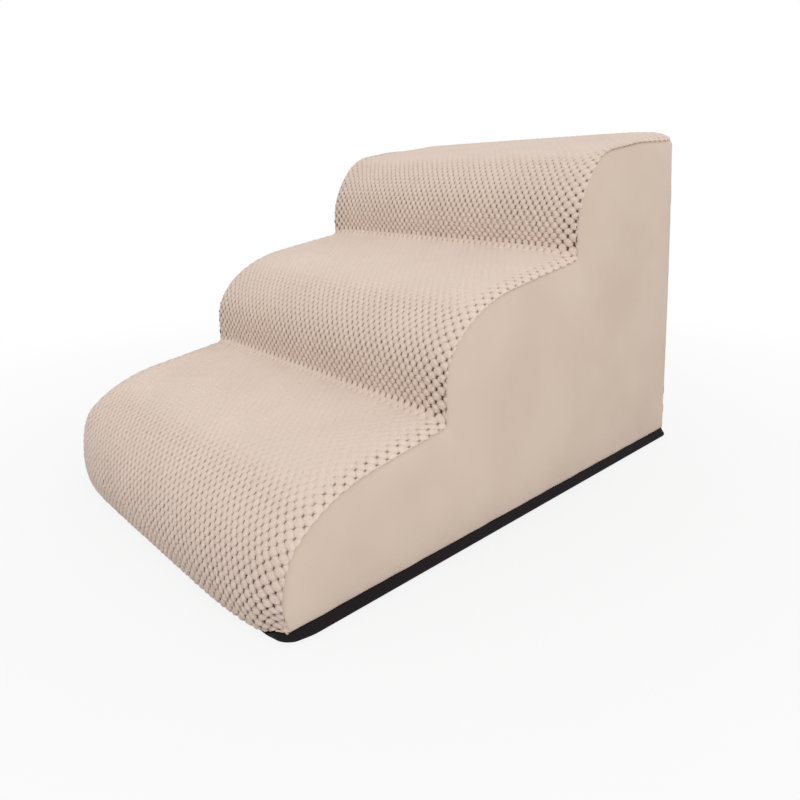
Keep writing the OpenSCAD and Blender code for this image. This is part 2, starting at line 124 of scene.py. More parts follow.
@dataclass(frozen=True)
class StepProfile:
    """Outline of the steps in the y and z plane, at the crowned middle of the stairs."""

    width: float = 0.430
    depth: float = 0.600
    height: float = 0.385
    crown: float = 0.005
    low_step_d: float = 0.191
    middle_step_d: float = 0.197
    low_step_h: float = 0.133
    middle_step_h: float = 0.259
    slope: float = math.radians(8.5)
    nose_run: tuple[float, float, float] = (0.130, 0.126, 0.084)
    nose_fall: tuple[float, float, float] = (0.105, 0.087, 0.090)
    hollow_r: float = 0.010
    back_edge_r: float = 0.015
    toe_r: float = 0.011
    dot_t: float = 0.0008
    riser_share: float = 0.40
    hollow_share: float = 0.60
    least_r: float = 0.0003
    cloth_inset: float = 0.002
    toe_cuts: int = 10
    nose_cuts: int = 47
    hollow_cuts: int = 12
    edge_cuts: int = 16

    @property
    def front_y(self) -> float:
        """Front of the low step."""
        return -self.depth / 2

    @property
    def back_y(self) -> float:
        """Back of the stairs at its fullest."""
        return self.depth / 2

    @property
    def seam_x(self) -> float:
        """Half width at the side seams."""
        return self.width / 2 - self.crown

    @property
    def seam_back_y(self) -> float:
        """Back face at its seams."""
        return self.back_y - self.crown

    @property
    def rim_z(self) -> float:
        """Height of the turned-up edge of the base."""
        return self.dot_t + self.toe_r

    def line(self, inset: float) -> np.ndarray:
        """Points of the outline, with the same number of points at every inset.

        Args:
            inset: How far inside the crowned face the line runs.

        Returns:
            Rows of y and z, from under the toe to the top edge at the back.
        """
        normal = np.array([-math.sin(self.slope), math.cos(self.slope)])
        drawn_in = inset * self.riser_share
        risers = [self.front_y, self.front_y + self.low_step_d,
                  self.front_y + self.low_step_d + self.middle_step_d]
        edge = np.array([self.back_y - self.back_edge_r, self.height - self.back_edge_r])
        reaches = [normal @ np.array([risers[1], self.low_step_h]),
                   normal @ np.array([risers[2], self.middle_step_h]),
                   normal @ edge + self.back_edge_r]
        toe = max(self.toe_r - drawn_in, self.least_r)
        parts = [self._arc(np.array([self.front_y + self.toe_r, self.rim_z]), toe, toe,
                           270.0, 180.0, self.toe_cuts)]
        for step, (run, fall) in enumerate(zip(self.nose_run, self.nose_fall)):
            y = risers[step] + run
            reach = reaches[step] - math.hypot(run * normal[0], fall * normal[1])
            centre = np.array([y, (reach - normal[0] * y) / normal[1]])
            a, b = run - drawn_in, fall - inset
            last = math.degrees(math.atan2(b * normal[1], a * normal[0]))
            parts.append(self._arc(centre, a, b, 180.0, last, self.nose_cuts))
            if step < len(self.nose_run) - 1:
                r = self.hollow_r - self.hollow_share * inset
                y = risers[step + 1] + drawn_in - r
                hollow = np.array([y, (reaches[step] - inset + r - normal[0] * y) / normal[1]])
                parts.append(self._arc(hollow, r, r, math.degrees(self.slope) - 90, 0.0,
                                       self.hollow_cuts))
        parts.append(self._arc(edge, self.back_edge_r - drawn_in,
                               max(self.back_edge_r - inset, self.least_r),
                               90 + math.degrees(self.slope), 0.0, self.edge_cuts))
        return np.concatenate(parts)

    def row_shares(self, rows: int) -> tuple[np.ndarray, np.ndarray]:
        """Stations along the outline that are equally far apart.

        Args:
            rows: Number of stations.

        Returns:
            The place of each station in the list of line(), and its length along the cloth.
        """
        lengths = arc_lengths(self.line(self.cloth_inset))
        even = np.linspace(0.0, lengths[-1], rows)
        return np.interp(even, lengths, np.arange(len(lengths))), even

    def at(self, inset: float, places: np.ndarray) -> np.ndarray:
        """Points of the outline at the given places in the list of line().

        Args:
            inset: How far inside the crowned face the line runs.
            places: Places in the list of line(), which may lie between its points.

        Returns:
            Rows of y and z.
        """
        line = self.line(inset)
        index = np.arange(len(line))
        return np.stack([np.interp(places, index, line[:, k]) for k in (0, 1)], axis=1)

    @staticmethod
    def _arc(centre: np.ndarray, across: float, upward: float, first: float, last: float,
             cuts: int) -> np.ndarray:
        """Points of an arc with two half axes, between two angles in degrees."""
        turn = np.radians(np.linspace(first, last, cuts + 1))
        return centre + np.stack([across * np.cos(turn), upward * np.sin(turn)], axis=1)


@dataclass(frozen=True)
class Corners:
    """How the cover is rounded at its front corners and along its side seams."""

    profile: StepProfile
    wrap: tuple[float, float] = (0.0205, 0.0145)
    foot_back: float = 0.0030
    foot_h: float = 0.030
    wrap_power: float = 6.0
    wrap_h: float = 0.078
    wrap_bend: float = 0.6
    lift_run: float = 0.030
    lift_flat: float = 0.004
    lift_h: float = 0.040
    lean: float = 0.0050
    lean_power: int = 3
    corner_in: float = 0.0045
    corner_run: float = 0.030
    end_in: float = 0.0038
    end_run: float = 0.034
    fill: float = -0.0005
    fill_slope: float = 0.0030
    fill_span: tuple[float, float] = (-0.7, 1.0)
    sag: float = 0.0020
    sag_power: float = 16.0
    rear_y: float = 0.090
    rear_run: float = 0.180
    high_z: float = 0.300
    high_run: float = 0.060
    slack_fall: float = 0.0020
    slack_power: int = 6
    roll_fall: float = 0.0050
    roll_power: float = 14.0
    taut: float = 0.0075
    taut_y: tuple[float, float] = (0.085, 0.200)
    taut_run: tuple[float, float] = (0.050, 0.095)
    skew: tuple[float, float] = (0.0080, -0.0030)
    skew_y: tuple[float, float] = (-0.280, 0.130)
    skew_run: float = 0.120
    skew_h: float = 0.080

    def seam_inset(self, share: np.ndarray | float) -> np.ndarray:
        """How far the plush has fallen below its crown, at a share of the half width."""
        slack = self.slack_fall * np.abs(share) ** self.slack_power
        return slack + self.roll_fall * self.rolled(share)

    def rolled(self, share: np.ndarray | float) -> np.ndarray:
        """Share, from 0 to 1, to which the cover has rolled over its side edge."""
        return 1 - np.sqrt(np.clip(1 - np.abs(share) ** self.roll_power, 0, 1))

    def set_back(self, share: np.ndarray | float, z: np.ndarray | float) -> np.ndarray:
        """How far the front stands back.

        Args:
            share: Share of the half width, below 0 on the far side.
            z: Height above the floor.

        Returns:
            The distance, which fades out with the height.
        """
        left = (1 - ease(z / self.wrap_h)) ** self.wrap_bend
        wrap = np.where(np.asarray(share) < 0, *self.wrap)
        foot = self.foot_back * (1 - ease(z / self.foot_h))
        return wrap * np.abs(share) ** self.wrap_power * left + foot

    def lifted(self, x: np.ndarray | float) -> np.ndarray:
        """Share, from 0 to 1, to which the lower edge of the plush has risen to the rim."""
        start = self.profile.seam_x - self.lift_run
        return ease((np.abs(x) - start) / (self.lift_run - self.lift_flat))

    def drawn(self, x: float, share: float, line: np.ndarray, inset: float) -> np.ndarray:
        """Bends a line of the profile to the rounded corners and the soft back edge.

        Args:
            x: Where the line lies across the stairs.
            share: Its share of the half width.
            line: Rows of y and z.
            inset: How far inside the crowned face the line runs.

        Returns:
            Rows of x, y and z.
        """
        p = self.profile
        y, z = line[:, 0].copy(), line[:, 1].copy()
        k = float(self.lifted(x))
        toe = (z < p.rim_z - TINY) & (y < p.front_y + 2 * p.toe_r)
        y[toe] += k * (p.front_y + inset * p.riser_share - y[toe])
        y += self.set_back(share, z)
        z += k * (p.rim_z - p.dot_t) * (1 - ease(z / self.lift_h))
        y, z = self.settled(share, y, z)
        end = np.abs(share) ** self.sag_power * ease((y - p.back_y + self.end_run) / self.end_run)
        return np.stack([x - np.sign(x) * self.end_in * end, y - self.end_in * end, z], axis=1)

    def settled(self, share: np.ndarray | float, y: np.ndarray,
                z: np.ndarray) -> tuple[np.ndarray, np.ndarray]:
        """Leans the soft top forwards, fills it out, and sets its seams and corners.

        Args:
            share: Share of the half width.
            y: Places along the stairs.
            z: Heights.

        Returns:
            The new y and z.
        """
        rear = ease((y - self.rear_y) / self.rear_run)
        high = ease((z - self.high_z) / self.high_run)
        edge = np.abs(share) ** self.sag_power
        tilt = np.clip(z / self.profile.height, 0, 1) ** self.lean_power
        last = ease((y - self.profile.back_y + self.corner_run) / self.corner_run)
        forwards = (self.lean * rear + self.corner_in * edge * last) * tilt
        begin, end = (ease((y - at) / run) for at, run in zip(self.taut_y, self.taut_run))
        taut = self.taut * self.rolled(share) * begin * (1 - end)
        fill = self.fill + self.fill_slope * np.clip(share, *self.fill_span)
        filled = (fill - (fill + self.sag) * edge) * rear
        far, near = self.skew
        risers = (ease((y - self.skew_y[0]) / self.skew_run)
                  * (1 - ease((y - self.skew_y[1]) / self.skew_run)) * ease(z / self.skew_h))
        skewed = ((far + near) / 2 + (near - far) / 2 * share) * risers
        return y - forwards + skewed, z + (filled + taut) * high


# Meshes


def add_object(name: str, mesh: bpy.types.Mesh) -> bpy.types.Object:
    """Links a mesh to the scene as an object at the origin.

    Args:
        name: Name of the object.
        mesh: Its mesh.

    Returns:
        The object.
    """
    made = bpy.data.objects.new(name, mesh)
    bpy.context.scene.collection.objects.link(made)
    return made


def shade_smooth(mesh: bpy.types.Mesh) -> None:
    """Shades every face of a mesh smooth."""
    mesh.polygons.foreach_set("use_smooth", np.full(len(mesh.polygons), True))


def mesh_of(name: str, points: np.ndarray, quads: np.ndarray,
            others: Sequence[Sequence[int]] = ()) -> bpy.types.Object:
    """Makes a closed mesh and points its faces outwards.

    Args:
        name: Name of the object.
        points: Rows of x, y and z.
        quads: Rows of four point numbers.
        others: Faces with any number of corners.

    Returns:
        The object, at the origin.
    """
    loops = [quads.reshape(-1)] + [np.asarray(face) for face in others]
    sizes = np.concatenate([np.full(len(quads), 4), [len(face) for face in others]]).astype(int)
    corners = np.concatenate(loops).astype(np.int32)
    starts = np.concatenate([[0], np.cumsum(sizes)[:-1]]).astype(np.int32)
    mesh = bpy.data.meshes.new(name)
    mesh.vertices.add(len(points))
    mesh.vertices.foreach_set("co", points.astype(np.float32).reshape(-1))
    mesh.loops.add(len(corners))
    mesh.loops.foreach_set("vertex_index", corners)
    mesh.polygons.add(len(sizes))
    mesh.polygons.foreach_set("loop_start", starts)
    mesh.update(calc_edges=True)
    a, b, c, d = (points[quads[:, k]] for k in range(4))
    volume = np.sum(np.cross(b - a, c - a) * (a + b + c) + np.cross(c - a, d - a) * (a + c + d))
    if volume < 0:
        mesh.flip_normals()
    shade_smooth(mesh)
    mesh.validate()
    return add_object(name, mesh)


def grid_quads(rows: int, columns: int, first: int = 0, wrapped: bool = False) -> np.ndarray:
    """Quads of a grid of points counted row by row.

    Args:
        rows: Number of rows.
        columns: Number of columns.
        first: Number of the grid's first point.
        wrapped: Whether the last column joins the first.

    Returns:
        Rows of four point numbers.
    """
    r, c = np.meshgrid(np.arange(rows - 1), np.arange(columns if wrapped else columns - 1),
                       indexing="ij")
    after = (c + 1) % columns
    quads = np.stack([r * columns + c, r * columns + after,
                      (r + 1) * columns + after, (r + 1) * columns + c], axis=-1)
    return quads.reshape(-1, 4) + first


def rim_loop(rows: int, columns: int) -> np.ndarray:
    """Point numbers round the edge of a grid."""
    grid = np.arange(rows * columns).reshape(rows, columns)
    return np.concatenate([grid[0], grid[1:, -1], grid[-1, -2::-1], grid[-2:0:-1, 0]])


def closed_sheet(name: str, outer: np.ndarray, inner: np.ndarray) -> bpy.types.Object:
    """Makes cloth between two like grids of points.

    Args:
        name: Name of the object.
        outer: Grid of points of the outer face, rows by columns by 3.
        inner: Grid of points of the inner face.

    Returns:
        The object, closed all round.
    """
    rows, columns = outer.shape[:2]
    count = rows * columns
    loop = rim_loop(rows, columns)
    after = np.roll(loop, -1)
    rim = np.stack([loop, loop + count, after + count, after], axis=1)
    quads = np.concatenate([grid_quads(rows, columns),
                            grid_quads(rows, columns, count)[:, ::-1], rim])
    points = np.concatenate([outer.reshape(-1, 3), inner.reshape(-1, 3)])
    return mesh_of(name, points, quads)


def copy_of_node(name: str, node: str) -> bpy.types.Object:
    """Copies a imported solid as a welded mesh, so that it can be finished.

    Args:
        name: Name of the copy.
        node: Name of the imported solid, which stays as it is.

    Returns:
        The copy, without a material.
    """
    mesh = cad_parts[node].data.copy()
    mesh.name = name
    work = bmesh.new()
    work.from_mesh(mesh)
    bmesh.ops.remove_doubles(work, verts=work.verts, dist=TINY)
    bmesh.ops.dissolve_limit(work, angle_limit=FLAT_ANGLE, verts=work.verts,
                             edges=work.edges)
    work.to_mesh(mesh)
    work.free()
    mesh.materials.clear()
    return add_object(name, mesh)


def settle(piece: bpy.types.Object) -> None:
    """Turns what the modifiers make of a piece into its plain mesh.

    Args:
        piece: The piece, which has no modifier afterwards.
    """
    graph = bpy.context.evaluated_depsgraph_get()
    mesh = bpy.data.meshes.new_from_object(
        piece.evaluated_get(graph), preserve_all_data_layers=True, depsgraph=graph)
    piece.modifiers.clear()
    piece.data = mesh


def soften_edges(piece: bpy.types.Object, width: float, segments: int = 3) -> None:
    """Rounds the sharp edges of a cut or cast part.

    Args:
        piece: The part.
        width: Width of the rounding.
        segments: Faces across the rounding.
    """
    bevel = piece.modifiers.new("rounded_edges", "BEVEL")
    bevel.width = width
    bevel.segments = segments
    bevel.limit_method = "ANGLE"
    bevel.angle_limit = BEVEL_ANGLE
    bevel.harden_normals = False
    settle(piece)
    shade_smooth(piece.data)
    piece.data.set_sharp_from_angle(angle=SHARP_ANGLE)


def add_attribute(piece: bpy.types.Object, name: str, values: np.ndarray) -> None:
    """Stores a number or a vector at each point of a piece.

    Args:
        piece: The piece.
        name: Name of the attribute.
        values: A number or a row of three for each point.
    """
    kind, key = ("FLOAT_VECTOR", "vector") if values.ndim == 2 else ("FLOAT", "value")
    layer = piece.data.attributes.new(name, kind, "POINT")
    layer.data.foreach_set(key, values.astype(np.float32).reshape(-1))


# Node trees


class Graph:
    """Puts nodes into a tree and joins them."""

    def __init__(self, tree: bpy.types.NodeTree) -> None:
        """Starts with the tree's own nodes."""
        self.tree = tree

    def feed(self, socket: bpy.types.NodeSocket, value: Any) -> None:
        """Gives an input a number, or links an output to it.

        Args:
            socket: The input.
            value: A plain value, or the output to link.
        """
        if isinstance(value, bpy.types.NodeSocket):
            self.tree.links.new(value, socket)
        else:
            socket.default_value = value

    def put(self, kind: str, inputs: dict[str | int, Any] | None = None,
            **settings: Any) -> bpy.types.Node:
        """Adds a node.

        Args:
            kind: Type name of the node.
            inputs: Values or outputs for its inputs, by name or number.
            **settings: Properties of the node.

        Returns:
            The node.
        """
        node = self.tree.nodes.new(kind)
        for key, value in settings.items():
            setattr(node, key, value)
        for key, value in (inputs or {}).items():
            self.feed(node.inputs[key], value)
        return node

    def math(self, operation: str, *values: Any, clamp: bool = False) -> bpy.types.NodeSocket:
        """Adds a Math node.

        Args:
            operation: What the node does.
            *values: Numbers or outputs for its inputs, in order.
            clamp: Whether the result is held between 0 and 1.

        Returns:
            The node's output.
        """
        node = self.put("ShaderNodeMath", dict(enumerate(values)), operation=operation)
        node.use_clamp = clamp
        return node.outputs[0]

    def vector(self, operation: str, *values: Any) -> bpy.types.NodeSocket:
        """Adds a Vector Math node, and returns its output."""
        node = self.put("ShaderNodeVectorMath", dict(enumerate(values)), operation=operation)
        return node.outputs[0]


class Recipe(Graph):
    """A Geometry Nodes tree with named inputs, which ends in plain geometry with a material."""

    def __init__(self, name: str, sizes: dict[str, float], finish: bpy.types.Material) -> None:
        """Makes the tree's inputs.

        Args:
            name: Name of the tree.
            sizes: Named number inputs with their values.
            finish: Material of what the tree makes.
        """
        super().__init__(bpy.data.node_groups.new(name, "GeometryNodeTree"))
        self.sizes = sizes
        self.finish = finish
        sockets = self.tree.interface
        sockets.new_socket("Geometry", in_out="INPUT", socket_type="NodeSocketGeometry")
        for size in sizes:
            sockets.new_socket(size, in_out="INPUT", socket_type="NodeSocketFloat")
        sockets.new_socket("Geometry", in_out="OUTPUT", socket_type="NodeSocketGeometry")
        self.given = self.put("NodeGroupInput")

    def size(self, name: str) -> bpy.types.NodeSocket:
        """Output that carries a named input."""
        return self.given.outputs[name]

    def end(self, geometry: bpy.types.NodeSocket) -> None:
        """Closes the tree with Realize Instances and Set Material.

        Args:
            geometry: Output that carries what the tree has made.
        """
        real = self.put("GeometryNodeRealizeInstances", {"Geometry": geometry})
        dressed = self.put("GeometryNodeSetMaterial", {"Geometry": real.outputs[0],
                                                       "Material": self.finish})
        self.put("NodeGroupOutput", {0: dressed.outputs[0]})

    def run_on(self, piece: bpy.types.Object) -> None:
        """Runs the tree on a piece, and keeps the result as its plain mesh.

        Args:
            piece: The piece, which loses the modifier again.
        """
        modifier = piece.modifiers.new(self.tree.name, "NODES")
        modifier.node_group = self.tree
        for item in self.tree.interface.items_tree:
            if item.in_out == "INPUT" and item.name in self.sizes:
                modifier[item.identifier] = self.sizes[item.name]
        settle(piece)


# Finishes


def new_material(name: str) -> tuple[bpy.types.Material, Graph, bpy.types.Node]:
    """Makes a material with a Principled shader.

    Args:
        name: Name of the material.

    Returns:
        The material, its graph and its shader.
    """
    material = bpy.data.materials.new(name)
    material.use_nodes = True
    graph = Graph(material.node_tree)
    shader = next(n for n in material.node_tree.nodes if n.type == "BSDF_PRINCIPLED")
    return material, graph, shader


def noise(graph: Graph, place: bpy.types.NodeSocket, scale: float, detail: float = 2.0,
          roughness: float = 0.5) -> bpy.types.NodeSocket:
    """Adds a noise texture.

    Args:
        graph: Tree of the material.
        place: Where the noise is read.
        scale: About how many features lie along a metre.
        detail: Number of finer layers.
        roughness: How strong the finer layers are.

    Returns:
        The noise, from 0 to 1.
    """
    node = graph.put("ShaderNodeTexNoise", {"Vector": place, "Scale": scale, "Detail": detail,
                                            "Roughness": roughness})
    return node.outputs["Fac"]


def shade(graph: Graph, fac: bpy.types.NodeSocket, low: Sequence[float], high: Sequence[float],
          start: float = 0.3, stop: float = 0.7) -> bpy.types.NodeSocket:
    """Runs a number through a ramp between two colours.

    Args:
        graph: Tree of the material.
        fac: The number.
        low: Colour up to the start.
        high: Colour from the stop on.
        start: Number at which the ramp starts.
        stop: Number at which it stops.

    Returns:
        The colour.
    """
    ramp = graph.put("ShaderNodeValToRGB", {"Fac": fac})
    for stop_at, place, colour in zip(ramp.color_ramp.elements, (start, stop), (low, high)):
        stop_at.position = place
        stop_at.color = colour
    return ramp.outputs["Color"]


def bump(graph: Graph, shader: bpy.types.Node, height: bpy.types.NodeSocket, strength: float,
         distance: float) -> None:
    """Gives a shader a bump from a height.

    Args:
        graph: Tree of the material.
        shader: The shader.
        height: The height, from 0 to 1.
        strength: Strength of the bump.
        distance: Height of the relief that it stands for.
    """
    node = graph.put("ShaderNodeBump", {"Height": height, "Strength": strength,
                                        "Distance": distance})
    graph.feed(shader.inputs["Normal"], node.outputs[0])


def set_uniform(shader: bpy.types.Node, values: dict[str, Any]) -> None:
    """Sets the inputs of a shader that are the same all over."""
    for name, value in values.items():
        shader.inputs[name].default_value = value


@dataclass(frozen=True)
class BubbleField:
    """Staggered rows of bubbles on the flat cloth, shared by the relief and the painted shade of the
    colour.
    """

    width: float = 0.0086
    row: float = 0.0057
    half_width: float = 0.458
    half_height: float = 0.80
    wander: float = 0.0026
    wander_scale: float = 70.0
    seed: float = 4.0

    def sizes(self) -> dict[str, float]:
        """Names the numbers of the field, as the inputs of a tree.

        Returns:
            The numbers by name.
        """
        return {"Bubble width": self.width, "Row pitch": self.row,
                "Half width": self.half_width, "Half height": self.half_height,
                "Wander": self.wander, "Seed": self.seed}

    def depth(self, graph: Graph, cloth: bpy.types.NodeSocket,
              size: Callable[[str], Any]) -> bpy.types.NodeSocket:
        """Adds how deep a place on the cloth lies.

        Args:
            graph: Tree of the relief or of the material.
            cloth: Place on the flat cloth.
            size: Gives a number of the field, or an output that carries it, by name.

        Returns:
            A number from 0 on top of a bubble to 1 in the pits between bubbles.
        """
        uneven = graph.put("ShaderNodeTexNoise", {
            "Vector": cloth, "W": size("Seed"), "Scale": self.wander_scale, "Detail": 1.0,
        }, noise_dimensions="4D")
        strayed = graph.vector("SCALE", graph.vector(
            "SUBTRACT", uneven.outputs["Color"], (0.5, 0.5, 0.5)))
        graph.feed(strayed.node.inputs["Scale"], size("Wander"))
        place = graph.put("ShaderNodeSeparateXYZ", {0: graph.vector("ADD", cloth, strayed)})
        column = graph.math("DIVIDE", place.outputs["X"], size("Bubble width"))
        row = graph.math("DIVIDE", place.outputs["Y"],
                         graph.math("MULTIPLY", size("Row pitch"), 2.0))

        def distance(start: float) -> bpy.types.NodeSocket:
            """Squared distance from the nearest bubble of one of the two staggered sets.

            Args:
                start: Shift of the set, as a share of its pitch.

            Returns:
                The distance, which is 1 at the rim of a bubble.
            """
            terms = []
            for turn, reach, pitch in ((column, "Half width", 1.0), (row, "Half height", 2.0)):
                apart = graph.math("SUBTRACT", graph.math(
                    "FRACT", graph.math("ADD", turn, start)), 0.5)
                share = graph.math("DIVIDE", graph.math("MULTIPLY", apart, pitch), size(reach))
                terms.append(graph.math("MULTIPLY", share, share))
            return graph.math("ADD", *terms)

        near = graph.math("MINIMUM", graph.math("MINIMUM", distance(0.0), distance(0.5)), 1.0)
        return graph.math("SUBTRACT", 1.0, graph.math("SQRT", graph.math("SUBTRACT", 1.0, near)))


@dataclass(frozen=True)
class PlushFinish:
    """Long-napped bubble plush: pale tips, fine fibres, and painted shade between the bubbles: darker
    flanks and dark brown pits.
    """

    bubbles: BubbleField = BubbleField()
    tip: tuple[float, ...] = srgb(214, 196, 183)
    # The flank and pit colours below are painted shade: the bubble flanks and the pits between the
    # bubbles, where the pile shades itself, are darkened in the colour.
    flank_shade: tuple[float, ...] = srgb(197, 174, 159)
    pit_shade: tuple[float, ...] = srgb(70, 47, 39)
    stops: tuple[float, float, float] = (0.17, 0.44, 0.76)
    fluff_scale: float = 720.0
    fluff_reach: float = 0.44
    fluff_tone: float = 0.42
    worn_scale: float = 14.0
    worn_reach: float = 0.16
    least_tone: float = 0.81
    roughness: float = 0.92
    specular: float = 0.18
    sheen: float = 0.22
    sheen_roughness: float = 0.45
    sheen_tint: tuple[float, ...] = srgb(246, 232, 222)
    fibre_scale: float = 1300.0
    relief: float = 0.75
    relief_h: float = 0.0011

    def material(self) -> bpy.types.Material:
        """Makes the plush material.

        Returns:
            The material, which reads the attribute cloth for the bubbles.
        """
        material, graph, shader = new_material("bubble_plush")
        place = graph.put("ShaderNodeTexCoord").outputs["Object"]
        cloth = graph.put("ShaderNodeAttribute", attribute_name="cloth").outputs["Vector"]
        pile = graph.put("ShaderNodeSeparateXYZ", {0: cloth}).outputs["Z"]
        # Depth times the share of pile sets how much painted shade a place gets; the noise below makes
        # its edges ragged.
        depth = graph.math("MULTIPLY", pile, self.bubbles.depth(
            graph, cloth, self.bubbles.sizes().__getitem__))
        fluff = noise(graph, place, self.fluff_scale, 3.0, 0.7)
        wander = graph.math("MULTIPLY_ADD", fluff, self.fluff_reach, -self.fluff_reach / 2)
        level = graph.math("ADD", depth, wander, clamp=True)
        # The ramp paints shade by depth: pale on the bubble tops, painted shade on the flanks, dark
        # painted shade in the pits.
        ramp = graph.put("ShaderNodeValToRGB", {"Fac": level})
        points = ramp.color_ramp.elements
        tip_at, flank_shade_at, pit_shade_at = self.stops
        points[0].position, points[0].color = tip_at, self.tip
        points[1].position, points[1].color = pit_shade_at, self.pit_shade
        middle = points.new(flank_shade_at)
        middle.color = self.flank_shade
        worn = noise(graph, place, self.worn_scale, 3.0)
        tone = graph.math("ADD", graph.math("MULTIPLY_ADD", worn, self.worn_reach,
                                            self.least_tone),
                          graph.math("MULTIPLY", fluff, self.fluff_tone))
        colour = graph.vector("SCALE", ramp.outputs["Color"])
        graph.feed(colour.node.inputs["Scale"], tone)
        graph.feed(shader.inputs["Base Color"], colour)
        set_uniform(shader, {"Roughness": self.roughness, "Specular IOR Level": self.specular,
                             "Sheen Weight": self.sheen, "Sheen Tint": self.sheen_tint,
                             "Sheen Roughness": self.sheen_roughness})
        fibre = noise(graph, place, self.fibre_scale, 3.0, 0.7)
        bump(graph, shader, graph.math("ADD", fibre, fluff), self.relief, self.relief_h)
        return material


@dataclass(frozen=True)
class SuedeFinish:
    """Brushed microfibre cloth with a short nap that lies one way or the other in soft clouds."""

    colour: tuple[float, ...] = srgb(205, 187, 172)
    brushed: tuple[float, ...] = srgb(198, 179, 164)
    cloud_scale: float = 9.0
    cloud_share: float = 0.75
    grain_scale: float = 1500.0
    stops: tuple[float, float] = (0.36, 0.60)
    roughness: float = 0.88
    specular: float = 0.2
    sheen: float = 0.14
    sheen_roughness: float = 0.4
    weave_scale: float = 1900.0
    weave_rise: float = 2.2
    relief: float = 0.16
    relief_h: float = 0.0004

    def material(self) -> bpy.types.Material:
        """Makes the suede material.

        Returns:
            The material.
        """
        material, graph, shader = new_material("brushed_suede")
        place = graph.put("ShaderNodeTexCoord").outputs["Object"]
        cloud = noise(graph, place, self.cloud_scale, 3.0, 0.55)
        grain = noise(graph, place, self.grain_scale, 2.0, 0.6)
        mixed = graph.math("MULTIPLY_ADD", grain, 1 - self.cloud_share,
                           graph.math("MULTIPLY", cloud, self.cloud_share))
        graph.feed(shader.inputs["Base Color"],
                   shade(graph, mixed, self.brushed, self.colour, *self.stops))
        set_uniform(shader, {"Roughness": self.roughness, "Specular IOR Level": self.specular,
                             "Sheen Weight": self.sheen,
                             "Sheen Roughness": self.sheen_roughness})
        risen = graph.put("ShaderNodeMapping", {"Vector": place,
                                                "Scale": (1.0, 1.0, self.weave_rise)})
        weave = noise(graph, risen.outputs[0], self.weave_scale, 2.0, 0.6)
        bump(graph, shader, graph.math("ADD", weave, grain), self.relief, self.relief_h)
        return material


@dataclass(frozen=True)
class WovenFinish:
    """Cloth woven in two directions, as on zip tape or the grip cloth of the base."""

    name: str
    colour: tuple[float, ...]
    shadow: tuple[float, ...]
    threads: float = 1400.0
    roughness: float = 0.85
    relief: float = 0.3
    diagonal: bool = False
    relief_h: float = 0.0003
    worn_scale: float = 60.0
    worn_share: float = 0.5
    stops: tuple[float, float] = (0.2, 0.75)
    specular: float = 0.25

    def material(self) -> bpy.types.Material:
        """Makes the woven material.

        Returns:
            The material.
        """
        material, graph, shader = new_material(self.name)
        place = graph.put("ShaderNodeTexCoord").outputs["Object"]
        turned = graph.put("ShaderNodeMapping", {
            "Vector": place, "Rotation": (0.0, math.pi / 4 if self.diagonal else 0.0, 0.0)})
        parts = graph.put("ShaderNodeSeparateXYZ", {0: turned.outputs[0]}).outputs
        turns = 2 * math.pi * self.threads
        across = graph.math("SINE", graph.math("MULTIPLY", parts["X"], turns))
        along = graph.math("SINE", graph.math(
            "MULTIPLY", graph.math("ADD", parts["Y"], parts["Z"]), turns))
        knit = graph.math("MULTIPLY_ADD", graph.math("MULTIPLY", across, along), 0.5, 0.5)
        uneven = noise(graph, place, self.worn_scale, 3.0)
        mixed = graph.math("MULTIPLY_ADD", uneven, self.worn_share,
                           graph.math("MULTIPLY", knit, 1 - self.worn_share))
        graph.feed(shader.inputs["Base Color"],
                   shade(graph, mixed, self.shadow, self.colour, *self.stops))
        set_uniform(shader, {"Roughness": self.roughness, "Specular IOR Level": self.specular})
        bump(graph, shader, mixed, self.relief, self.relief_h)
        return material


@dataclass(frozen=True)
class PlainFinish:
    """Moulded or cast stuff: one colour with slight clouding and a fine surface grain."""

    name: str
    colour: tuple[float, ...]
    clouded: tuple[float, ...]
    roughness: float
    metal: float = 0.0
    grain: float = 700.0
    relief: float = 0.08
    relief_h: float = 0.0002
    worn_times: float = 6.0
    worn_reach: float = 0.16

    def material(self) -> bpy.types.Material:
        """Makes the material.

        Returns:
            The material.
        """
        material, graph, shader = new_material(self.name)
        place = graph.put("ShaderNodeTexCoord").outputs["Object"]
        fine = noise(graph, place, self.grain, 3.0, 0.6)
        graph.feed(shader.inputs["Base Color"], shade(graph, fine, self.clouded, self.colour))
        worn = graph.math("MULTIPLY_ADD", noise(graph, place, self.grain / self.worn_times, 2.0),
                          self.worn_reach, self.roughness - self.worn_reach / 2)
        graph.feed(shader.inputs["Roughness"], worn)
        set_uniform(shader, {"Metallic": self.metal})
        bump(graph, shader, fine, self.relief, self.relief_h)
        return material


class Slot(Enum):
    """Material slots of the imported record."""

    FOAM = "foam"
    PLUSH = "plush"
    SUEDE = "suede"
    BASE = "grip_base"
    TAPE = "tape"
    COIL = "coil"
    METAL = "zip_metal"


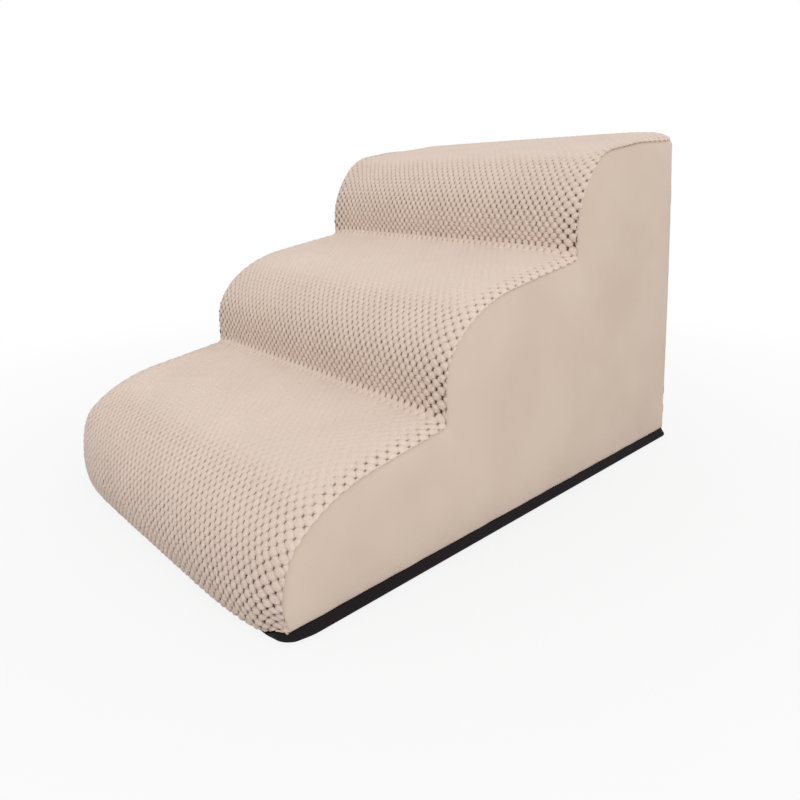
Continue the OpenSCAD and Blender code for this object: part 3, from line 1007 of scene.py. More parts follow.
@dataclass
class Wardrobe:
    """The finishes of the stairs, each made once."""

    plush: bpy.types.Material = field(default_factory=lambda: PlushFinish().material())
    suede: bpy.types.Material = field(default_factory=lambda: SuedeFinish().material())
    base: bpy.types.Material = field(default_factory=lambda: WovenFinish(
        "grip_cloth", srgb(24, 16, 19), srgb(11, 7, 9), threads=900.0, roughness=0.9,
        relief=0.5).material())
    tape: bpy.types.Material = field(default_factory=lambda: WovenFinish(
        "zip_tape_weave", srgb(206, 190, 172), srgb(176, 158, 140), threads=1250.0,
        roughness=0.8, relief=0.6, diagonal=True).material())
    dots: bpy.types.Material = field(default_factory=lambda: PlainFinish(
        "grip_dots", srgb(44, 40, 42), srgb(30, 27, 29), roughness=0.42).material())
    coil: bpy.types.Material = field(default_factory=lambda: PlainFinish(
        "nylon_coil", srgb(214, 200, 182), srgb(198, 182, 164), roughness=0.38).material())
    metal: bpy.types.Material = field(default_factory=lambda: PlainFinish(
        "zip_metal", srgb(186, 184, 180), srgb(158, 156, 153), roughness=0.32,
        metal=1.0).material())
    thread: bpy.types.Material = field(default_factory=lambda: PlainFinish(
        "sewing_thread", srgb(199, 181, 162), srgb(176, 158, 139), roughness=0.7,
        grain=2400.0, relief=0.4).material())
    foam: bpy.types.Material = field(default_factory=lambda: PlainFinish(
        "open_cell_foam", srgb(226, 210, 158), srgb(196, 176, 122), roughness=0.95,
        grain=1100.0, relief=0.6).material())


def wear(piece: bpy.types.Object, finish: bpy.types.Material, slot: Slot, body: str,
         *stands_for: str) -> bpy.types.Object:
    """Gives a piece its finish and its body.

    Args:
        piece: The finished piece.
        finish: Its material.
        slot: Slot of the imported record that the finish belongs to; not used.
        body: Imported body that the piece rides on.
        *stands_for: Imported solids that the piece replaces.

    Returns:
        The piece.
    """
    if not piece.data.materials:
        piece.data.materials.append(finish)
    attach(piece, body)
    if stands_for:
        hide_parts(*stands_for)
    LOG.info("%s: %d faces on %s", piece.name, len(piece.data.polygons), body)
    return piece


# Sub-assemblies


@dataclass
class PlushCover:
    """The strip of bubble plush over treads and risers, rolled over both side seams."""

    profile: StepProfile
    corners: Corners
    edge_x: float = 0.2122
    pile_t: float = 0.0045
    lip_r: float = 0.0022
    lip_turn: float = math.radians(105)
    inner_margin: float = 0.0028
    smooth_share: float = 0.60
    smooth_rows: int = 17
    open_run: float = 0.014
    edge_run: float = 0.0010
    stretch: float = 0.08
    seam_stretch: float = 0.50
    seam_run: float = 0.048
    upright: tuple[float, float] = (0.66, 1.04)
    bubbles: BubbleField = BubbleField()
    pit_depth: float = 0.0024
    fluff: float = 0.0026
    fluff_scale: float = 420.0
    tread_level: float = 0.80
    tread_fade: float = 0.16
    riser_level: float = 0.75
    edge_pile: float = 0.45
    section_cuts: int = 4000
    lip_cuts: int = 60
    across: int = 481
    along: int = 1061
    inner_columns: int = 13

    def _section(self) -> tuple[np.ndarray, np.ndarray, np.ndarray]:
        """Stations across the cloth: over the crown, down the roll and under the lip.

        Returns:
            For each station its x, its fall below the crown, and its length along the cloth.
        """
        shares = np.sin(np.linspace(0, np.pi / 2, self.section_cuts))
        turn = np.linspace(0, self.lip_turn, self.lip_cuts)[1:]
        x = np.append(shares * self.edge_x, self.edge_x - self.lip_r * (1 - np.cos(turn)))
        fall = self.corners.seam_inset(shares)
        fall = np.append(fall, fall[-1] + self.lip_r * np.sin(turn))
        lengths = arc_lengths(np.stack([x, fall], axis=1))
        even = np.linspace(-lengths[-1], lengths[-1], self.across)
        return (np.sign(even) * np.interp(np.abs(even), lengths, x),
                np.interp(np.abs(even), lengths, fall), even)

    def _grid(self, stations: np.ndarray, falls: np.ndarray, places: np.ndarray,
              depth: float) -> np.ndarray:
        """Points of the cloth, drawn inwards by a depth.

        Args:
            stations: The x of each station across the cloth.
            falls: Fall of each station below the crown.
            places: Stations along the profile.
            depth: How far inside the outer face the points lie.

        Returns:
            Points, rows along by columns across by 3.
        """
        columns = []
        edge_fall = float(self.corners.seam_inset(1.0))
        for x, fall in zip(stations, falls):
            inset = float(fall) + depth
            share = float(np.sign(x) if fall > edge_fall + TINY else x / self.edge_x)
            columns.append(self.corners.drawn(float(x), share,
                                              self.profile.at(inset, places), inset))
        return np.stack(columns, axis=1)

    def _pile(self, places: np.ndarray, lengths: np.ndarray) -> np.ndarray:
        """How open the pile stands: closed and smooth on the treads, open along the seams.

        Args:
            places: Stations along the profile.
            lengths: Lengths across the cloth.

        Returns:
            A share for each row and column of the outer face.
        """
        run = np.gradient(self.profile.at(self.corners.slack_fall, places), axis=0)
        level = run[:, 0] / np.maximum(np.linalg.norm(run, axis=1), LEAST_LENGTH)
        flat = self.smooth_share * np.convolve(
            ease((level - self.tread_level) / self.tread_fade),
            np.full(self.smooth_rows, 1 / self.smooth_rows), "same")
        from_edge = lengths[-1] - np.abs(lengths)
        seam = 1 - ease((from_edge - self.open_run) / self.open_run)
        # Risers stand fullest: deeper pits, and through the material a darker painted shade in them.
        nose, riser = self.upright
        stand = nose + (riser - nose) * (1 - ease(level / self.riser_level))
        pile = stand[:, None] * (1 - flat[:, None] * (1 - seam[None, :]))
        edge = self.edge_pile + (1 - self.edge_pile) * ease(from_edge / self.edge_run)
        return pile * edge

    def build(self) -> bpy.types.Object:
        """Builds the smooth strip with its cloth coordinates.

        Returns:
            The closed strip, with the attribute cloth: across, along and share of pile.
        """
        stations, falls, lengths = self._section()
        places, rows_at = self.profile.row_shares(self.along)
        outer = self._grid(stations, falls, places, 0.0)
        inner_at = np.round(np.linspace(0, self.across - 1, self.inner_columns)).astype(int)
        inner_x = self.edge_x - self.inner_margin
        inner = self._grid(np.clip(stations[inner_at], -inner_x, inner_x),
                           np.minimum(falls[inner_at], self.corners.seam_inset(1.0)), places,
                           self.pile_t)
        count = self.across * self.along
        grid = np.arange(count).reshape(self.along, self.across)
        back = count + np.arange(self.along * self.inner_columns).reshape(self.along, -1)
        sides = [np.stack([g[:-1], g[1:], b[1:], b[:-1]], axis=1)[:, ::turn]
                 for g, b, turn in ((grid[:, -1], back[:, -1], -1), (grid[:, 0], back[:, 0], 1))]
        quads = np.concatenate([grid_quads(self.along, self.across),
                                grid_quads(self.along, self.inner_columns, count)[:, ::-1],
                                *sides])
        ends = []
        for row, turned in ((0, False), (self.along - 1, True)):
            for k in range(self.inner_columns - 1):
                a, b = inner_at[k], inner_at[k + 1]
                face = [back[row, k + 1], back[row, k]] + [int(grid[row, j]) for j in
                                                           range(a, b + 1)]
                ends.append([int(p) for p in (face[::-1] if not turned else face)])
        points = np.concatenate([outer.reshape(-1, 3), inner.reshape(-1, 3)])
        strip = mesh_of("plush_cover", points, quads, [f[::-1] for f in ends])
        near_seam = np.clip(self.seam_run - lengths[-1] + np.abs(lengths), 0, None)
        widened = self.seam_stretch * near_seam ** 2 / (2 * self.seam_run)
        u, v = np.meshgrid(lengths - np.sign(lengths) * widened, rows_at)
        u *= 1 - self.stretch * v / rows_at[-1]
        pile = self._pile(places, lengths)
        cloth = np.concatenate([np.stack([u, v, pile], axis=-1).reshape(-1, 3),
                                np.zeros((self.along * self.inner_columns, 3))])
        add_attribute(strip, "cloth", cloth)
        return strip

    def pile_recipe(self, finish: bpy.types.Material) -> Recipe:
        """Makes the Geometry Nodes tree that sinks the pits between the bubbles.

        Args:
            finish: Material of the plush.

        Returns:
            The tree.
        """
        tree = Recipe("bubble_pile", {**self.bubbles.sizes(), "Pit depth": self.pit_depth,
                                      "Fluff": self.fluff}, finish)
        cloth = tree.put("GeometryNodeInputNamedAttribute", {"Name": "cloth"},
                         data_type="FLOAT_VECTOR").outputs[0]
        pile = tree.put("ShaderNodeSeparateXYZ", {0: cloth}).outputs["Z"]
        sunk = tree.math("MULTIPLY", self.bubbles.depth(tree, cloth, tree.size),
                         tree.size("Pit depth"))
        fluff = tree.put("ShaderNodeTexNoise", {
            "Vector": cloth, "W": tree.size("Seed"), "Scale": self.fluff_scale, "Detail": 2.0,
        }, noise_dimensions="4D").outputs["Fac"]
        loose = tree.math("MULTIPLY", tree.math("SUBTRACT", fluff, 0.5), tree.size("Fluff"))
        push = tree.vector("SCALE", tree.put("GeometryNodeInputNormal").outputs[0])
        tree.feed(push.node.inputs["Scale"],
                  tree.math("MULTIPLY", tree.math("SUBTRACT", loose, sunk), pile))
        raised = tree.put("GeometryNodeSetPosition", {
            "Geometry": tree.size("Geometry"), "Offset": push})
        tree.end(raised.outputs[0])
        return tree

    def dress(self, wardrobe: Wardrobe) -> bpy.types.Object:
        """Builds the strip, raises its pile and puts it on the stairs.

        Args:
            wardrobe: The finishes.

        Returns:
            The strip.
        """
        strip = self.build()
        self.pile_recipe(wardrobe.plush).run_on(strip)
        wear(strip, wardrobe.plush, Slot.PLUSH, "stairs", "tread_panel")
        return strip


@dataclass
class FoamBlock:
    """The contour-cut foam block inside the cover, which settles with it."""

    corners: Corners
    packed_wrap: float = 0.0160
    edge_w: float = 0.0012
    edge_faces: int = 2
    front_start: float = 0.020
    front_run: float = 0.040

    def dress(self, wardrobe: Wardrobe) -> bpy.types.Object:
        """Puts the block in its cover.

        Args:
            wardrobe: The finishes.

        Returns:
            The block.
        """
        block = copy_of_node("foam_block", "foam_core")
        soften_edges(block, self.edge_w, self.edge_faces)
        points = np.empty(len(block.data.vertices) * 3, dtype=np.float32)
        block.data.vertices.foreach_get("co", points)
        points = points.reshape(-1, 3)
        corners = self.corners
        share = np.clip(points[:, 0] / corners.profile.seam_x, -1, 1)
        packed = (self.packed_wrap * np.abs(share) ** corners.wrap_power
                  * (1 - ease(points[:, 2] / corners.wrap_h)) ** corners.wrap_bend)
        front = 1 - ease((points[:, 1] - corners.profile.front_y - self.front_start)
                         / self.front_run)
        points[:, 1] += front * (corners.set_back(share, points[:, 2]) - packed)
        points[:, 1], points[:, 2] = corners.settled(share, points[:, 1], points[:, 2])
        block.data.vertices.foreach_set("co", points.reshape(-1))
        block.data.update()
        wear(block, wardrobe.foam, Slot.FOAM, "stairs", "foam_core")
        return block


@dataclass
class SidePanel:
    """A side of brushed cloth, stretched from the plush down to the base and the back."""

    profile: StepProfile
    corners: Corners
    side: int
    cloth_t: float = 0.0015
    seam_drop: float = 0.0080
    tuck: float = 0.0010
    foot_tuck: float = 0.0022
    foot_drop: float = 0.0020
    swell_run: float = 0.150
    swell_power: int = 3
    inner_drop: float = 0.0036
    tuck_run: float = 0.0035
    least_step: float = 0.0006
    eased: float = 0.6
    pucker: Ripple = Ripple(0.00030, (0.013, 0.021, 0.034), 1.3)
    pucker_run: float = 0.011
    pull: Ripple = Ripple(0.00045, (0.047, 0.083, 0.031), 2.1)
    pull_run: float = 0.030
    drape: Ripple = Ripple(0.0006, (0.210, 0.130), 0.7)
    drape_slant: tuple[float, float] = (0.8, 0.6)
    calm_run: float = 0.03
    columns: int = 300
    rows: int = 76

    def _seam(self, inset: float) -> np.ndarray:
        """Points of the seam with the plush, from the base to the back edge.

        Args:
            inset: How far inside the crowned face the seam runs.

        Returns:
            Rows of y and z, one for each column.
        """
        line = self.profile.line(inset)[self.profile.toe_cuts:]
        lengths = arc_lengths(line)
        even = np.linspace(0, lengths[-1], self.columns)
        seam = np.stack([np.interp(even, lengths, line[:, k]) for k in (0, 1)], axis=1)
        seam[:, 0] += self.corners.set_back(float(self.side), seam[:, 1])
        return seam

    def _feet(self, seam: np.ndarray, base_z: float, back_y: float) -> np.ndarray:
        """Where each column, drawn at 45 degrees down from the seam, meets base or back.

        Args:
            seam: Rows of y and z along the seam.
            base_z: Height of the panel's lower edge.
            back_y: Place of its back edge.

        Returns:
            Rows of y and z, one for each column.
        """
        drop = seam[:, 1] - base_z
        on_base = seam[:, 0] + drop <= back_y
        z = np.where(on_base, base_z, seam[:, 1] - (back_y - seam[:, 0]))
        y = np.where(on_base, seam[:, 0] + drop, back_y)
        first_back = int(np.argmax(~on_base))
        z[first_back], y[first_back] = base_z, back_y
        room = self.least_step * np.arange(self.columns)[::-1]
        z = np.where(on_base, z, np.minimum(z, seam[-1, 1] - room))
        start = seam[0, 0] + self.least_step * np.arange(self.columns)
        return np.stack([np.where(on_base, np.maximum(y, start), y), z], axis=1)

    def _face(self, inset: float, x: float, base_z: float, back_y: float) -> np.ndarray:
        """Grid of points of one face of the panel.

        Args:
            inset: How far inside the crowned face its seam runs.
            x: Half width at the flat edges of the face.
            base_z: Height of its lower edge.
            back_y: Place of its back edge.

        Returns:
            Points of the right-hand panel, rows by columns by 3.
        """
        seam = self._seam(inset)
        feet = self._feet(seam, base_z, back_y)
        even = np.linspace(0, 1, self.rows)
        t = ease(even) * self.eased + even * (1 - self.eased)
        yz = seam + t[:, None, None] * (feet - seam)
        length = np.linalg.norm(feet - seam, axis=1)
        full = self.profile.crown * np.sin(np.pi / 2 * np.minimum(1, length / self.swell_run))
        swell = (1 - np.abs(2 * t[:, None] - 1) ** self.swell_power) * full
        along = arc_lengths(seam)
        from_seam = t[:, None] * length
        to_foot = (1 - t[:, None]) * length
        valley = self.tuck * np.exp(-(from_seam / self.tuck_run) ** 2)
        on_base = feet[:, 1] < base_z + TINY
        foot = np.where(on_base, self.foot_tuck, self.tuck)
        valley += foot * np.exp(-(to_foot / self.tuck_run) ** 2) * (1 - valley / self.tuck)
        pucker = (self.pucker.height * np.exp(-from_seam / self.pucker_run)
                  * self.pucker.at(along))
        pull = (self.pull.height * np.exp(-to_foot / self.pull_run)
                * self.pull.at(feet[:, 0] + feet[:, 1]))
        ahead, upward = self.drape_slant
        drape = (self.drape.height * np.sin(np.pi * t[:, None])
                 * self.drape.at(yz[..., 0] * ahead + yz[..., 1] * upward))
        depth = x + swell - valley + (pucker + pull + drape) * np.minimum(
            1, length / self.calm_run)
        y, z = self.corners.settled(float(self.side), yz[..., 0], yz[..., 1])
        return np.stack([depth, y, z], axis=-1)

    def dress(self, wardrobe: Wardrobe) -> bpy.types.Object:
        """Builds the panel and sews it in.

        Args:
            wardrobe: The finishes.

        Returns:
            The panel.
        """
        p = self.profile
        foot_z = p.rim_z - self.foot_drop
        outer = self._face(self.seam_drop, p.seam_x, foot_z, p.seam_back_y)
        inner = self._face(self.seam_drop + self.inner_drop, p.seam_x - self.cloth_t, foot_z,
                           p.seam_back_y - self.cloth_t)
        for face in (outer, inner):
            face[..., 0] *= self.side
        name = "side_cloth_right" if self.side > 0 else "side_cloth_left"
        node = "side_panel_right" if self.side > 0 else "side_panel_left"
        panel = closed_sheet(name, outer, inner)
        wear(panel, wardrobe.suede, Slot.SUEDE, "stairs", node)
        return panel

    @staticmethod
    def _area(face: np.ndarray) -> float:
        """Flat area of a face seen from the side.

        Args:
            face: Grid of points of the face.

        Returns:
            Its area.
        """
        loop = face.reshape(-1, 3)[rim_loop(*face.shape[:2])][:, 1:]
        after = np.roll(loop, -1, axis=0)
        return abs(float(np.sum(loop[:, 0] * after[:, 1] - after[:, 0] * loop[:, 1]))) / 2


@dataclass
class BackPanels:
    """The smooth back over the zip and the low strip under it, each with a turned hem."""

    profile: StepProfile
    corners: Corners
    zip_z: float = 0.050
    hem_slot: float = 0.014
    cloth_t: float = 0.0015
    hem_t: float = 0.0010
    hem_w: float = 0.009
    foot_tuck: float = 0.0020
    foot_drop: float = 0.0020
    foot_h: float = 0.004
    swell_z: float = 0.080
    swell_h: float = 0.120
    swell_power: int = 8
    hem_step: float = 0.0022
    hem_round: float = 0.8
    hem_round_h: float = 0.0013
    side_tuck: float = 0.0010
    side_run: float = 0.0035
    wave: Ripple = Ripple(0.0005, (0.061, 0.097, 0.043), 0.9)
    wave_h: float = 0.05
    crease: Ripple = Ripple(0.0007, (0.190, 0.120), 1.9)
    crease_z: float = 0.08
    crease_h: float = 0.1
    crease_slant: float = 0.7
    crease_power: int = 6
    outer_gap: float = 0.0003
    inner_gap: float = 0.0018
    top_gap: float = 0.0002
    hem_rise: float = 0.016
    hem_rows: int = 22
    tall_rows: int = 90
    low_rows: int = 44
    columns: int = 150

    def _face(self, z: np.ndarray, half_w: float, y: float, hem_z: float,
              inner: bool) -> np.ndarray:
        """Grid of points of a back face, with its hem standing proud at one edge.

        Args:
            z: Heights of its rows.
            half_w: Half its width.
            y: Place of its flat edges.
            hem_z: Height of the hemmed edge.
            inner: Whether it is the inner face, which has neither hem nor creases.

        Returns:
            Points, rows by columns by 3.
        """
        s = np.sin(np.linspace(-np.pi / 2, np.pi / 2, self.columns))
        zz, ss = np.meshgrid(z, s, indexing="ij")
        x = ss * half_w
        swell = (self.profile.crown * (1 - np.abs(ss) ** self.swell_power)
                 * ease((zz - self.swell_z) / self.swell_h))
        hem = self.hem_t * (1 - ease((np.abs(zz - hem_z) - self.hem_w) / self.hem_step))
        round_off = (self.hem_t * self.hem_round
                     * (1 - ease(np.abs(zz - hem_z) / self.hem_round_h)))
        side = self.side_tuck * np.exp(-((half_w - np.abs(x)) / self.side_run) ** 2)
        rise = np.exp(-np.abs(zz - hem_z) / self.wave_h)
        wave = self.wave.height * rise * self.wave.at(x)
        crease = (self.crease.height * ease((zz - self.crease_z) / self.crease_h)
                  * self.crease.at(x * self.crease_slant + zz))
        creased = crease * (1 - np.abs(ss) ** self.crease_power)
        out = 0.0 if inner else hem - round_off - side + wave + creased
        foot = self.foot_tuck * (1 - ease((zz - self.profile.rim_z + self.foot_drop)
                                          / self.foot_h))
        yy, zz = self.corners.settled(ss, y + swell + out - foot, zz)
        return np.stack([x, yy, zz], axis=-1)

    def _sheet(self, name: str, z: np.ndarray, hem_z: float) -> bpy.types.Object:
        """Makes one of the two sheets.

        Args:
            name: Name of the sheet.
            z: Heights of its rows.
            hem_z: Height of its hemmed edge.

        Returns:
            The closed sheet.
        """
        p = self.profile
        outer = self._face(z, p.seam_x - self.outer_gap, p.seam_back_y, hem_z, False)
        inner = self._face(z, p.seam_x - self.inner_gap, p.seam_back_y - self.cloth_t, hem_z,
                           True)
        return closed_sheet(name, outer, inner)

    def dress(self, wardrobe: Wardrobe) -> list[bpy.types.Object]:
        """Builds both sheets and sews them in.

        Args:
            wardrobe: The finishes.

        Returns:
            The back and the strip under the zip.
        """
        p = self.profile
        top = p.height - p.back_edge_r - self.top_gap
        hem_up, hem_low = self.zip_z + self.hem_slot / 2, self.zip_z - self.hem_slot / 2
        turned = hem_up + self.hem_rise
        rise = np.concatenate([np.linspace(hem_up, turned, self.hem_rows)[:-1],
                               np.linspace(turned, top, self.tall_rows)])
        tall = self._sheet("back_cloth", rise, hem_up)
        low = self._sheet("back_strip_cloth",
                          np.linspace(p.rim_z - self.foot_drop, hem_low, self.low_rows), hem_low)
        wear(tall, wardrobe.suede, Slot.SUEDE, "stairs", "back_panel")
        wear(low, wardrobe.suede, Slot.SUEDE, "stairs", "back_strip")
        return [tall, low]


@dataclass
class BaseCloth:
    """Black grip cloth under the stairs, turned up round the edge, with rubber dots below."""

    profile: StepProfile
    corners: Corners
    cloth_t: float = 0.0014
    edge_r: float = 0.005
    front_r: float = 0.012
    back_r: float = 0.006
    stand_out: float = 0.0006
    corner_back: tuple[float, float] = (0.0090, 0.0030)
    bulge: float = 0.0044
    bulge_start: float = 0.016
    bulge_run: float = 0.030
    bulge_low: float = 0.10
    front_start: float = 0.024
    front_run: float = 0.020
    front_in: float = 0.0005
    corner_power: int = 12
    corner_points: int = 12
    edge_step: float = 0.004
    rim_gap: float = 0.0003
    least_rise: float = 0.0006
    bend_points: int = 7
    lip_in: float = 0.0004
    lip_h: float = 0.0005
    wall_shares: tuple[float, ...] = (0.85, 0.7, 0.55)
    dot_pitch: float = 0.030
    dot_r: float = 0.003
    dot_h: float = 0.0012
    dot_z: float = 0.0004
    dot_margin: float = 0.014
    least_dot: float = 0.92

    def _outline(self) -> tuple[np.ndarray, np.ndarray]:
        """Plan of the turned-up edge, and how high it stands at each point.

        Returns:
            Rows of x and y, and the height of the rim there.
        """
        p = self.profile
        w, y1 = p.seam_x + self.stand_out, p.seam_back_y + self.stand_out
        y0 = p.front_y + p.toe_r + self.corners.foot_back
        arcs = [(w - self.back_r, y1 - self.back_r, self.back_r, 0, 90),
                (-w + self.back_r, y1 - self.back_r, self.back_r, 90, 180),
                (-w + self.front_r, y0 + self.front_r, self.front_r, 180, 270),
                (w - self.front_r, y0 + self.front_r, self.front_r, 270, 360)]
        points = []
        for k, (cx, cy, r, first, last) in enumerate(arcs):
            turn = np.radians(np.linspace(first, last, self.corner_points))
            arc = np.stack([cx + r * np.cos(turn), cy + r * np.sin(turn)], axis=1)
            nx, ny, nr, start, _ = arcs[(k + 1) % len(arcs)]
            begin = np.array([nx + nr * math.cos(math.radians(start)),
                              ny + nr * math.sin(math.radians(start))])
            count = max(3, int(np.linalg.norm(begin - arc[-1]) / self.edge_step))
            run = arc[-1] + np.linspace(0, 1, count)[1:-1, None] * (begin - arc[-1])
            points += [arc, run]
        line = np.concatenate(points)
        front = ease((y0 + self.front_start - line[:, 1]) / self.front_run)
        share = np.clip(np.abs(line[:, 0]) / w, 0, 1)
        corner_back = np.where(line[:, 0] < 0, *self.corner_back)
        line[:, 1] += front * (self.front_in + corner_back * share ** self.corner_power)
        rise = (p.rim_z - p.dot_t) * np.maximum(self.corners.lifted(line[:, 0]), 1 - front)
        least = p.dot_t + self.cloth_t + self.least_rise
        return line, np.maximum(p.dot_t + rise - self.rim_gap, least)

    def build(self) -> bpy.types.Object:
        """Builds the turned-up cloth as one closed sheet.

        Returns:
            The cloth.
        """
        p = self.profile
        line, rim = self._outline()
        ahead, behind = np.roll(line, -1, axis=0), np.roll(line, 1, axis=0)
        run = ahead - behind
        inward = np.stack([-run[:, 1], run[:, 0]], axis=1)
        inward /= np.linalg.norm(inward, axis=1, keepdims=True)
        bend = np.radians(np.linspace(0, 90, self.bend_points))
        r, t = self.edge_r, self.cloth_t
        full = p.rim_z - p.dot_t
        lip = 1 - self.lip_h / full
        out = [(self.lip_in, 1.0), (0.0, lip)] + [(0.0, share) for share in self.wall_shares]
        out += [(r - r * math.cos(b), (r - r * math.sin(b)) / full) for b in bend]
        ri = r - t
        inn = [(r - ri * math.cos(b), (ri - ri * math.sin(b)) / (full - t)) for b in bend[::-1]]
        inn += [(t, share) for share in self.wall_shares[::-1]]
        inn += [(t, lip), (t - self.lip_in, 1.0)]
        bulge = self.bulge * ease((line[:, 1] - p.front_y - self.bulge_start) / self.bulge_run)
        rings = []
        for low, section in ((p.dot_t, out), (p.dot_t + t, inn)):
            for offset, share in section:
                z = low + (rim - low) * share
                pushed = bulge * (1 - ease((share - self.bulge_low) / (1 - self.bulge_low)))
                rings.append(np.column_stack([line + inward * (offset - pushed)[:, None], z]))
        count = len(line)
        points = np.concatenate(rings)
        quads = grid_quads(len(out), count, 0, True)
        quads = np.concatenate([quads, grid_quads(len(inn), count, len(out) * count, True)])
        first, last = np.arange(count), (len(rings) - 1) * count + np.arange(count)
        rim_quads = np.stack([np.roll(first, -1), first, last, np.roll(last, -1)], axis=1)
        bottom = (len(out) - 1) * count + np.arange(count)
        top = len(out) * count + np.arange(count)
        return mesh_of("base_cloth", points, np.concatenate([quads, rim_quads]),
                       [bottom.tolist(), top[::-1].tolist()])

    def dot_recipe(self, finish: bpy.types.Material) -> Recipe:
        """Makes the Geometry Nodes tree that sets a low rubber dome on each point of a field.

        Args:
            finish: Material of the dots.

        Returns:
            The tree.
        """
        tree = Recipe("grip_dot_field", {"Dot radius": self.dot_r, "Dot height": self.dot_h,
                                         "Seed": 1.0}, finish)
        dome = tree.put("GeometryNodeMeshUVSphere", {"Segments": 12, "Rings": 6, "Radius": 1.0})
        size = tree.put("ShaderNodeCombineXYZ", {"X": tree.size("Dot radius"),
                                                 "Y": tree.size("Dot radius"),
                                                 "Z": tree.size("Dot height")})
        uneven = tree.put("FunctionNodeRandomValue", {2: self.least_dot, 3: 1.0, 8: tree.size("Seed")},
                          data_type="FLOAT")
        scale = tree.vector("SCALE", size.outputs[0])
        tree.feed(scale.node.inputs["Scale"], uneven.outputs[1])
        set_on = tree.put("GeometryNodeInstanceOnPoints", {
            "Points": tree.size("Geometry"), "Instance": dome.outputs[0], "Scale": scale})
        tree.end(set_on.outputs[0])
        return tree

    def dots(self, wardrobe: Wardrobe) -> bpy.types.Object:
        """Builds the rubber dots under the base, in rows shifted by half a pitch.

        Args:
            wardrobe: The finishes.

        Returns:
            The dots, as one piece.
        """
        p = self.profile
        row = self.dot_pitch * math.sin(math.radians(60))
        y0 = p.front_y + p.toe_r + self.dot_margin
        y1 = p.seam_back_y - self.dot_margin
        rows = int((y1 - y0) / row)
        room = p.seam_x - self.dot_margin - self.dot_r
        places = []
        for r in range(rows + 1):
            shift = 0.0 if r % 2 == 0 else self.dot_pitch / 2
            n = int((room - shift) / self.dot_pitch)
            for k in range(-n - (1 if shift else 0), n + 1):
                places.append((k * self.dot_pitch + shift,
                               (y0 + y1 - rows * row) / 2 + r * row, p.dot_t + self.dot_z))
        field_mesh = bpy.data.meshes.new("grip_dots")
        field_mesh.from_pydata(places, [], [])
        made = add_object("grip_dots", field_mesh)
        self.dot_recipe(wardrobe.dots).run_on(made)
        shade_smooth(made.data)
        return wear(made, wardrobe.dots, Slot.BASE, "stairs")

    def dress(self, wardrobe: Wardrobe) -> list[bpy.types.Object]:
        """Builds the base cloth with its dots.

        Args:
            wardrobe: The finishes.

        Returns:
            The cloth and the dots.
        """
        cloth = wear(self.build(), wardrobe.base, Slot.BASE, "stairs", "base_panel")
        dots = self.dots(wardrobe)
        return [cloth, dots]


@dataclass
class Stitching:
    """A row of thread stitches along a line."""

    name: str
    line: np.ndarray
    length: float = 0.0028
    pitch: float = 0.0036
    thick: float = 0.00045

    def recipe(self, finish: bpy.types.Material) -> Recipe:
        """Makes the Geometry Nodes tree that lays a short thread at each step of a line.

        Args:
            finish: Material of the thread.

        Returns:
            The tree.
        """
        tree = Recipe(f"{self.name}_tree", {"Stitch length": self.length,
                                            "Stitch pitch": self.pitch,
                                            "Thread width": self.thick, "Seed": 2.0}, finish)
        curve = tree.put("GeometryNodeMeshToCurve", {"Mesh": tree.size("Geometry")})
        even = tree.put("GeometryNodeResampleCurve", {
            "Curve": curve.outputs[0], "Length": tree.size("Stitch pitch")}, mode="LENGTH")
        thread = tree.put("GeometryNodeMeshUVSphere", {"Segments": 6, "Rings": 5, "Radius": 0.5})
        size = tree.put("ShaderNodeCombineXYZ", {"X": tree.size("Stitch length"),
                                                 "Y": tree.size("Thread width"),
                                                 "Z": tree.size("Thread width")})
        tangent = tree.put("GeometryNodeInputTangent").outputs[0]
        turn = tree.put("FunctionNodeAlignRotationToVector", {"Vector": tangent}, axis="X")
        laid = tree.put("GeometryNodeInstanceOnPoints", {
            "Points": even.outputs[0], "Instance": thread.outputs[0],
            "Rotation": turn.outputs[0], "Scale": size.outputs[0]})
        tree.end(laid.outputs[0])
        return tree

    def dress(self, wardrobe: Wardrobe, slot: Slot) -> bpy.types.Object:
        """Sews the row.

        Args:
            wardrobe: The finishes.
            slot: Slot of the cloth that the row is sewn through.

        Returns:
            The row.
        """
        mesh = bpy.data.meshes.new(self.name)
        mesh.from_pydata([tuple(p) for p in self.line],
                         [(k, k + 1) for k in range(len(self.line) - 1)], [])
        row = add_object(self.name, mesh)
        self.recipe(wardrobe.thread).run_on(row)
        shade_smooth(row.data)
        return wear(row, wardrobe.thread, slot, "stairs")


